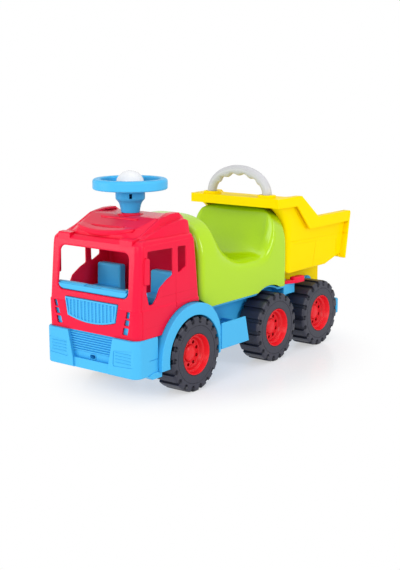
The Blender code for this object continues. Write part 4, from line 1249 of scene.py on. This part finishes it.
def column_shape():
    """Steering column: tapered stem, flared collar and a slot in each third of the collar."""
    foot, top = COLUMN_LOW.z, COLUMN_HIGH.z
    centre = (0, STEERING_Y, 0)
    profile = [(foot, 11.8), (369.3, 11.8), (369.3, 18.6), (369.9, 19.2), (378, 20.6), (385, 22.3)]
    profile += [(389.5, 24), (392, 25.8), (394.5, 28.2), (396.4, 29.8), (398.5, 30.4), (400, 30.5)]
    profile += [(411.4, 30.5), (412, 30), (top, 27), (400, 27), (392, 19), (378, 16)]
    profile += [(378, 2.7), (foot, 2.7)]
    stem = turned(profile, 72, "z", centre)
    for third in range(3):
        slot = eased(box((-3, 3), (24, 36), (399.5, 409.5)), 0.7, 2)
        stem = cut(stem, swung(slot, math.radians(223 + 120 * third), "Z", centre))
    return stem


def horn_shape():
    """White domed button with one small sound hole."""
    low, high = measured("horn_button")
    radius = high.x
    centre_z = high.z - radius
    profile = [(low.z, radius)]
    steps, inner_steps = 16, 6
    for k in range(steps):
        angle = math.pi / 2 * k / steps
        profile.append((centre_z + radius * math.sin(angle), radius * math.cos(angle)))
    profile.append((centre_z + radius, 0))
    inner, seat = radius - 2.6, 11.5
    profile += [(434, 0), (434, seat)]
    meet = math.acos(seat / inner)
    for k in range(inner_steps + 1):
        angle = meet * (1 - k / inner_steps)
        profile.append((centre_z + inner * math.sin(angle), inner * math.cos(angle)))
    profile += [(low.z, inner)]
    dome = turned(profile, 64, "z", (0, STEERING_Y, 0))
    drill = cylinder("z", (0, 0, 0), 1.2, radius - 1.6, radius + 3, 16)
    return cut(dome, swung(drill, math.radians(-24), "Y", (0, STEERING_Y, centre_z)))


def spring_shape(turns=5, steps=24):
    """Coil of round wire under the horn button."""
    low, high = measured("horn_spring")
    wire, coil = 0.7, 8
    rings = []
    for i in range(turns * steps + 1):
        angle = 2 * math.pi * i / steps
        z = low.z + wire + (high.z - low.z - 2 * wire) * i / (turns * steps)
        ring = []
        for across, up in arc((0, 0), wire, 0, 324, 9):
            out = coil + across
            ring.append((out * math.cos(angle), STEERING_Y + out * math.sin(angle), z + up))
        rings.append(ring)
    return loft(rings)


class TRUCK_OT_steering(bpy.types.Operator):
    """Steering column and wheel with the white horn button"""

    bl_idname = "truck.steering"
    bl_label = "Steering"

    def execute(self, context):
        blue = finish("blue")
        for node in ("steering_washer", "steering_screw"):
            refinish(node, "steel")
        spring = to_mesh("coil", spring_shape())
        coil = put("horn_coil", spring, finish("steel"), "steering", ["horn_spring"])
        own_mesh(coil)
        put("slotted_column", to_mesh("column", column_shape()), blue, "steering", ["steering_column"])
        put("round_wheel", to_mesh("wheel", steering_wheel_shape()), blue, "steering", ["steering_wheel"])
        put("horn_dome", to_mesh("dome", horn_shape(), 60), finish("white"), "horn", ["horn_button"])
        return {"FINISHED"}


# Tipper


BED_LOW, BED_HIGH = measured("tipper_bed")
BED_TOP, BED_REAR_TOP, BED_FLOOR = 370, 314, 188
BED_FRONT, BED_REAR = 135, BED_HIGH.y
RIM_HALF = BED_HIGH.x
TUB_HALF = 114
BED_DRAFT = 0.03
PIN_LOW, PIN_HIGH = measured("left_hinge_pin")
HINGE = (PIN_LOW + PIN_HIGH) / 2
PAD_X, PAD_Y = 78, 102


def draft(z):
    """Share of the tub's full width at a height."""
    return 1 - BED_DRAFT * max(0, BED_TOP - z) / (BED_TOP - BED_FLOOR)


def tapered(shape):
    """Draws the bed's sides in towards its floor."""
    for vert in shape.verts:
        vert.co.x *= draft(vert.co.z)
    return shape


def upright_at(y, x):
    """Picks upright edges near a plan corner."""
    near = 6
    return lambda e: all(abs(v.co.y - y) < near and abs(abs(v.co.x) - x) < near for v in e.verts)


def bed_shape():
    """Yellow tub: open tail, turned-down rim, canopy with handle pads, panel creases and a well below."""
    rear, half = BED_REAR, RIM_HALF
    low = 1.5
    side = [(BED_FRONT, BED_FLOOR), (316, BED_FLOOR), (380, 205), (rear - 20, 205)]
    side += [(rear - 2.3, BED_REAR_TOP - low), (247.5, BED_REAR_TOP - low)]
    side += [(176.5, BED_TOP - low), (BED_FRONT, BED_TOP - low)]
    bed = prism(side, "x", -TUB_HALF, TUB_HALF)
    bed = eased(bed, 20, 7, upright_at(BED_FRONT, TUB_HALF))
    bed = tapered(eased(bed, 2.5, 3))
    canopy, drop, deep = 79, 21, 26
    band = [(canopy, BED_TOP), (180, BED_TOP), (256, BED_REAR_TOP), (rear, BED_REAR_TOP)]
    band += [(rear - 5, BED_REAR_TOP - deep), (219, BED_REAR_TOP - deep)]
    band += [(163, BED_TOP - drop - 2), (canopy, BED_TOP - drop)]
    rim = prism(rounded(band, [0.5, 7, 3, 7, 2, 2, 2, 0.5], 4), "x", -half, half)
    rim = eased(rim, 9, 6, upright_at(canopy, half))
    bed = joined(bed, eased(rim, 2.6, 3))
    well = eased(box((-70, 70), (193, 350), (BED_LOW.z, BED_FLOOR + 2)), 3, 3)
    bed = joined(bed, well)
    for sign in SIDES.values():
        high = BED_REAR_TOP - 8
        flange = [(rear - 27, 196), (rear - 20, 194), (rear - 1, high), (rear - 6, high)]
        bed = joined(bed, eased(prism(flange, "x", *span(sign, 108, half)), 1.4, 3))
    lip = [(rear - 32, 200), (rear - 24, 196), (rear - 20, 196), (rear - 18, 206), (rear - 32, 206)]
    bed = joined(bed, prism(lip, "x", -109, 109))
    bed = cut(bed, load_space())
    bed = cut(bed, eased(box((-66, 66), (197, 346), (BED_LOW.z + 4, 220)), 3, 3))
    skin = 4
    under_canopy = (BED_TOP - drop - 9, BED_TOP - skin)
    bed = cut(bed, box((skin - half, half - skin), (canopy + skin, BED_FRONT - 1), under_canopy))
    roof, shelf = BED_TOP - 15, BED_REAR_TOP - 18
    under = [(BED_FRONT + 3, roof), (168, roof), (228, shelf), (rear - 13, shelf), (rear - 18, 270)]
    under += [(214, 270), (156, 326), (BED_FRONT + 3, 326)]
    for sign in SIDES.values():
        bed = joined(bed, cut(gusset_shape(sign), load_space()))
        bed = cut(bed, prism(under, "x", *span(sign, TUB_HALF + 0.6, half - skin)))
        boss = span(sign, 50, 69)
        bed = joined(bed, cylinder("x", (0, HINGE.y, HINGE.z), 13, *boss))
        bed = cut(bed, cylinder("x", (0, HINGE.y, HINGE.z), 5.5, *span(sign, 56, 90)))
        left, right = sign * PAD_X - 21, sign * PAD_X + 21
        front, back = PAD_Y - 16, PAD_Y + 16
        pad = rounded([(left, front), (right, front), (right, back), (left, back)], 13, 6)
        base = prism(pad, "z", BED_TOP - 2, 376)
        bed = joined(bed, eased(base, 2, 3, lambda e: min(v.co.z for v in e.verts) > 374))
        bed = cut(bed, cylinder("z", (sign * PAD_X, PAD_Y, 0), 2.7, 350, 390, 12))
        bed = cut(bed, *panel_creases(sign))
    return bed


def load_space():
    """Room inside the tub, a wall's thickness in and open at the tail."""
    front, floor, half = BED_FRONT + 4.5, BED_FLOOR + 4, TUB_HALF - 4
    out, over = 460, 440
    outline = [(front, floor), (315, floor), (379, 209), (out, 230.5), (out, over), (front, over)]
    space = eased(prism(outline, "x", -half, half), 14, 6, upright_at(front, half))
    return tapered(eased(space, 5, 4, lambda e: max(v.co.z for v in e.verts) < 240))


def gusset_shape(sign):
    """Corner of the tub that sweeps forward under the canopy."""
    foot, reach, corner_radius = 292, 48, 17
    back = BED_FRONT + 22
    steps = 9
    rings = []
    for i in range(steps + 1):
        z = foot + (BED_TOP - 5 - foot) * i / steps
        front = BED_FRONT + 0.4 - reach * min(1, (z - foot) / 60) ** 2.2
        half = TUB_HALF * draft(z) - 0.2
        corner = arc((half - corner_radius, front + corner_radius), corner_radius, -90, 0, 6)
        plan = [(half - 19, back), (half - 19, front)] + corner + [(half, back)]
        rings.append([(sign * x, y, z) for x, y in plan])
    return loft(rings)


def panel_creases(sign):
    """Fine grooves in the tub's side: a long crease and the outlines of two panels below it."""
    deep = span(sign, TUB_HALF - 2.6, TUB_HALF + 10)
    grooves = []
    for start, end in (((150, 264), (398, 257.5)), ((162, 256), (262, 253.6)), ((274, 252.4), (364, 247))):
        line = [start, end, (end[0], end[1] - 1.1), (start[0], start[1] - 1.1)]
        grooves.append(prism(line, "x", *deep))
    deeper = span(sign, TUB_HALF - 3.7, TUB_HALF + 10)
    for start, end in (((268, 254), (254, 190)), ((363, 246), (364.5, 206))):
        line = [start, (start[0] + 1.2, start[1]), (end[0] + 1.2, end[1]), end]
        grooves.append(prism(line, "x", *deeper))
    return grooves


def handle_shape(body):
    """Arched grip with finger scallops underneath."""
    low, high = measured("push_handle")
    thick = (high.y - low.y) / 2
    half = (high.x - low.x) / 2 - thick
    foot = low.z
    rise = high.z - thick - foot
    middle = (high.y + low.y) / 2
    scallop = 2.6
    steps, sides = 120, 28
    rings = []
    for i in range(steps + 1):
        share = i / steps
        angle = math.pi * share
        along = Vector((half * math.sin(angle), 0, rise * math.cos(angle))).normalized()
        out = Vector((-along.z, 0, along.x))
        spot = Vector((-half * math.cos(angle), middle, foot + rise * math.sin(angle)))
        fade = clamped((0.34 - abs(share - 0.5)) / 0.05)
        grip = scallop * fade * math.cos(2 * math.pi * body.finger_grips * (share - 0.5) * 1.35)
        ring = []
        for k in range(sides):
            turn = 2 * math.pi * k / sides
            under = max(0, -math.cos(turn)) ** 0.6
            reach = thick + grip * under
            ring.append(tuple(spot + out * reach * math.cos(turn) + Vector((0, thick * math.sin(turn), 0))))
        rings.append(ring)
    return loft(rings)


def lever_shape():
    """Lock lever: a flat hub on its pin and a thick rounded knob."""
    low, high = measured("lock_lever")
    pin_low, pin_high = measured("lever_pin")
    x, y = (pin_low.x + pin_high.x) / 2, (pin_low.y + pin_high.y) / 2
    arm = arc((x, y), 10, 180, 330, 14) + [(x + 22, y + 26), (x + 6, y + 30)]
    thick = 7.4
    plate = prism(arm, "z", low.z, low.z + thick)
    plate = eased(plate, 1, 2, lambda e: min(v.co.z for v in e.verts) > low.z + 7)
    grip = rounded([(x + 2, y + 20), (x + 22, y + 20), (x + 24, y + 62), (x + 4, y + 62)], 8, 6)
    knob = eased(prism(grip, "z", low.z, high.z), 4, 4, lambda e: min(v.co.z for v in e.verts) > high.z - 1)
    return cut(joined(plate, knob), cylinder("z", (x, y, 0), 3.4, low.z - 5, high.z + 5, 20))


class TRUCK_OT_tipper(bpy.types.Operator):
    """Yellow tipper bed, its grey push handle and the red lock lever"""

    bl_idname = "truck.tipper"
    bl_label = "Tipper"

    def execute(self, context):
        for side in SIDES:
            refinish(f"{side}_handle_screw", "steel")
        put("tub_moulding", to_mesh("tub", bed_shape()), finish("yellow"), "tipper", ["tipper_bed"])
        handle = to_mesh("grip", handle_shape(settings().body), 60)
        put("finger_grip", handle, finish("grey"), "tipper", ["push_handle"])
        put("lever_knob", to_mesh("knob", lever_shape()), finish("red"), "lever", ["lock_lever"])
        return {"FINISHED"}


# Stage


FLOOR_HALF = 6000
SENSOR_WIDTH = 36
AMBIENT = 0.48
# Name, place, aim and size in metres, and power in watts
LAMPS = (
    ("key", (0.9, -2.4, 1.3), (0, 0, 0.2), (2, 1.4), 32),
    ("side", (2.4, 0.3, 1.1), (0, 0, 0.2), (0.5, 1.2), 16),
    ("top", (0.6, 0.3, 2.6), (0, 0, 0.2), (2, 2), 17),
    ("front", (-1.6, -2.1, 0.5), (0, -0.4, 0.25), (1.2, 0.8), 15),
    ("cab_fill", (0, -0.31, 0.325), (0, -0.31, 0.1), (0.16, 0.06), 0.02),
)


def floor_material():
    """Studio floor that glows white: near the truck half of it is painted white glow, which lightens the
    truck's real shadow, and away from the truck it fades to the backdrop's plain white glow.
    """
    material = bpy.data.materials.new("studio_floor")
    material.use_nodes = True
    nodes, links = material.node_tree.nodes, material.node_tree.links
    shader = nodes["Principled BSDF"]
    shader.inputs["Base Color"].default_value = (0.84, 0.84, 0.92, 1)
    shader.inputs["Roughness"].default_value = 0.22
    shader.inputs["Specular IOR Level"].default_value = 0.16
    white = nodes.new("ShaderNodeEmission")
    white.inputs["Color"].default_value = (1, 1, 1, 1)
    place = nodes.new("ShaderNodeTexCoord")
    glow_pool = nodes.new("ShaderNodeMapping")
    glow_pool.inputs["Location"].default_value = (-0.1, 0, 0)
    glow_pool.inputs["Scale"].default_value = (3.3, 2.4, 1)
    links.new(place.outputs["Object"], glow_pool.inputs["Vector"])
    reach = nodes.new("ShaderNodeVectorMath")
    reach.operation = "LENGTH"
    links.new(glow_pool.outputs["Vector"], reach.inputs[0])
    fade = ranged(nodes, links, reach.outputs["Value"], 0.6, 1.15)
    fade.interpolation_type = "SMOOTHSTEP"
    fade.inputs["To Min"].default_value = 0.5
    # Painted glow: half white emission near the truck, lightening its shadow, and all white emission far
    # away.
    mix = nodes.new("ShaderNodeMixShader")
    links.new(fade.outputs["Result"], mix.inputs["Fac"])
    links.new(shader.outputs["BSDF"], mix.inputs[1])
    links.new(white.outputs["Emission"], mix.inputs[2])
    links.new(mix.outputs["Shader"], nodes["Material Output"].inputs["Surface"])
    return material


def studio_world(ambient):
    """Even white surround, shown as plain white behind the truck and in its gloss."""
    world = bpy.data.worlds.new("studio")
    world.use_nodes = True
    nodes, links = world.node_tree.nodes, world.node_tree.links
    light = nodes["Background"]
    light.inputs["Color"].default_value = (1, 1, 1, 1)
    light.inputs["Strength"].default_value = ambient
    white = nodes.new("ShaderNodeBackground")
    path = nodes.new("ShaderNodeLightPath")
    white.inputs["Color"].default_value = (1, 1, 1, 1)
    mix = nodes.new("ShaderNodeMixShader")
    seen = maths(nodes, links, "ADD", path.outputs["Is Camera Ray"], path.outputs["Is Glossy Ray"])
    seen = maths(nodes, links, "ADD", seen, path.outputs["Is Transmission Ray"])
    links.new(seen, mix.inputs["Fac"])
    links.new(light.outputs["Background"], mix.inputs[1])
    links.new(white.outputs["Background"], mix.inputs[2])
    links.new(mix.outputs["Shader"], nodes["World Output"].inputs["Surface"])
    bpy.context.scene.world = world


def softbox(name, place, aim, size, power):
    """A soft lamp that looks at a point."""
    light = bpy.data.lights.new(name, "AREA")
    light.shape = "RECTANGLE"
    light.size, light.size_y = size
    light.energy = power
    obj = bpy.data.objects.new(name, light)
    obj.location = place
    obj.rotation_euler = (Vector(aim) - Vector(place)).to_track_quat("-Z", "Y").to_euler()
    bpy.context.scene.collection.objects.link(obj)


class TRUCK_OT_stage(bpy.types.Operator):
    """Camera, pale floor, white surround and soft studio lamps"""

    bl_idname = "truck.stage"
    bl_label = "Stage"

    def execute(self, context):
        stage = settings().stage
        scene = context.scene
        camera = bpy.data.objects.new("camera", bpy.data.cameras.new("camera"))
        scene.collection.objects.link(camera)
        around, over = math.radians(stage.azimuth), math.radians(stage.elevation)
        flat = math.cos(over)
        back = Vector((math.sin(around) * flat, -math.cos(around) * flat, math.sin(over)))
        camera.location = Vector(stage.target) + back * stage.distance
        camera.rotation_euler = (-back).to_track_quat("-Z", "Y").to_euler()
        camera.data.lens = stage.lens
        camera.data.sensor_width = SENSOR_WIDTH
        scene.camera = camera
        scene.view_settings.view_transform = "Standard"
        mesh = to_mesh("floor", box((-FLOOR_HALF, FLOOR_HALF), (-FLOOR_HALF, FLOOR_HALF), (-2, 0)))
        mesh.materials.append(floor_material())
        ground = bpy.data.objects.new("floor", mesh)
        scene.collection.objects.link(ground)
        studio_world(AMBIENT)
        for lamp in LAMPS:
            softbox(*lamp)
        return {"FINISHED"}


class TRUCK_PT_panel(bpy.types.Panel):
    """Lists the steps that build the truck"""

    bl_idname = "TRUCK_PT_panel"
    bl_label = "Tipper truck"
    bl_space_type = "VIEW_3D"
    bl_region_type = "UI"
    bl_category = "Tipper truck"

    def draw(self, context):
        for operator in OPERATORS:
            self.layout.operator(operator.bl_idname)


OPERATORS = (
    TRUCK_OT_stage,
    TRUCK_OT_wheels,
    TRUCK_OT_underbody,
    TRUCK_OT_cab,
    TRUCK_OT_saddle,
    TRUCK_OT_steering,
    TRUCK_OT_tipper,
)
GROUPS = (TruckColours, WheelSizes, BodySizes, StageSizes, TruckSettings)


def register():
    """Adds the settings, the operators and the panel."""
    for cls in (*GROUPS, *OPERATORS, TRUCK_PT_panel):
        bpy.utils.register_class(cls)
    bpy.types.Scene.tipper_truck = PointerProperty(type=TruckSettings)


def unregister():
    """Takes away what register added."""
    del bpy.types.Scene.tipper_truck
    for cls in reversed((*GROUPS, *OPERATORS, TRUCK_PT_panel)):
        bpy.utils.unregister_class(cls)


def main():
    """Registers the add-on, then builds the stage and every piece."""
    register()
    bpy.ops.truck.stage()
    bpy.ops.truck.wheels()
    bpy.ops.truck.underbody()
    bpy.ops.truck.cab()
    bpy.ops.truck.saddle()
    bpy.ops.truck.steering()
    bpy.ops.truck.tipper()


if __name__ == "__main__":
    main()
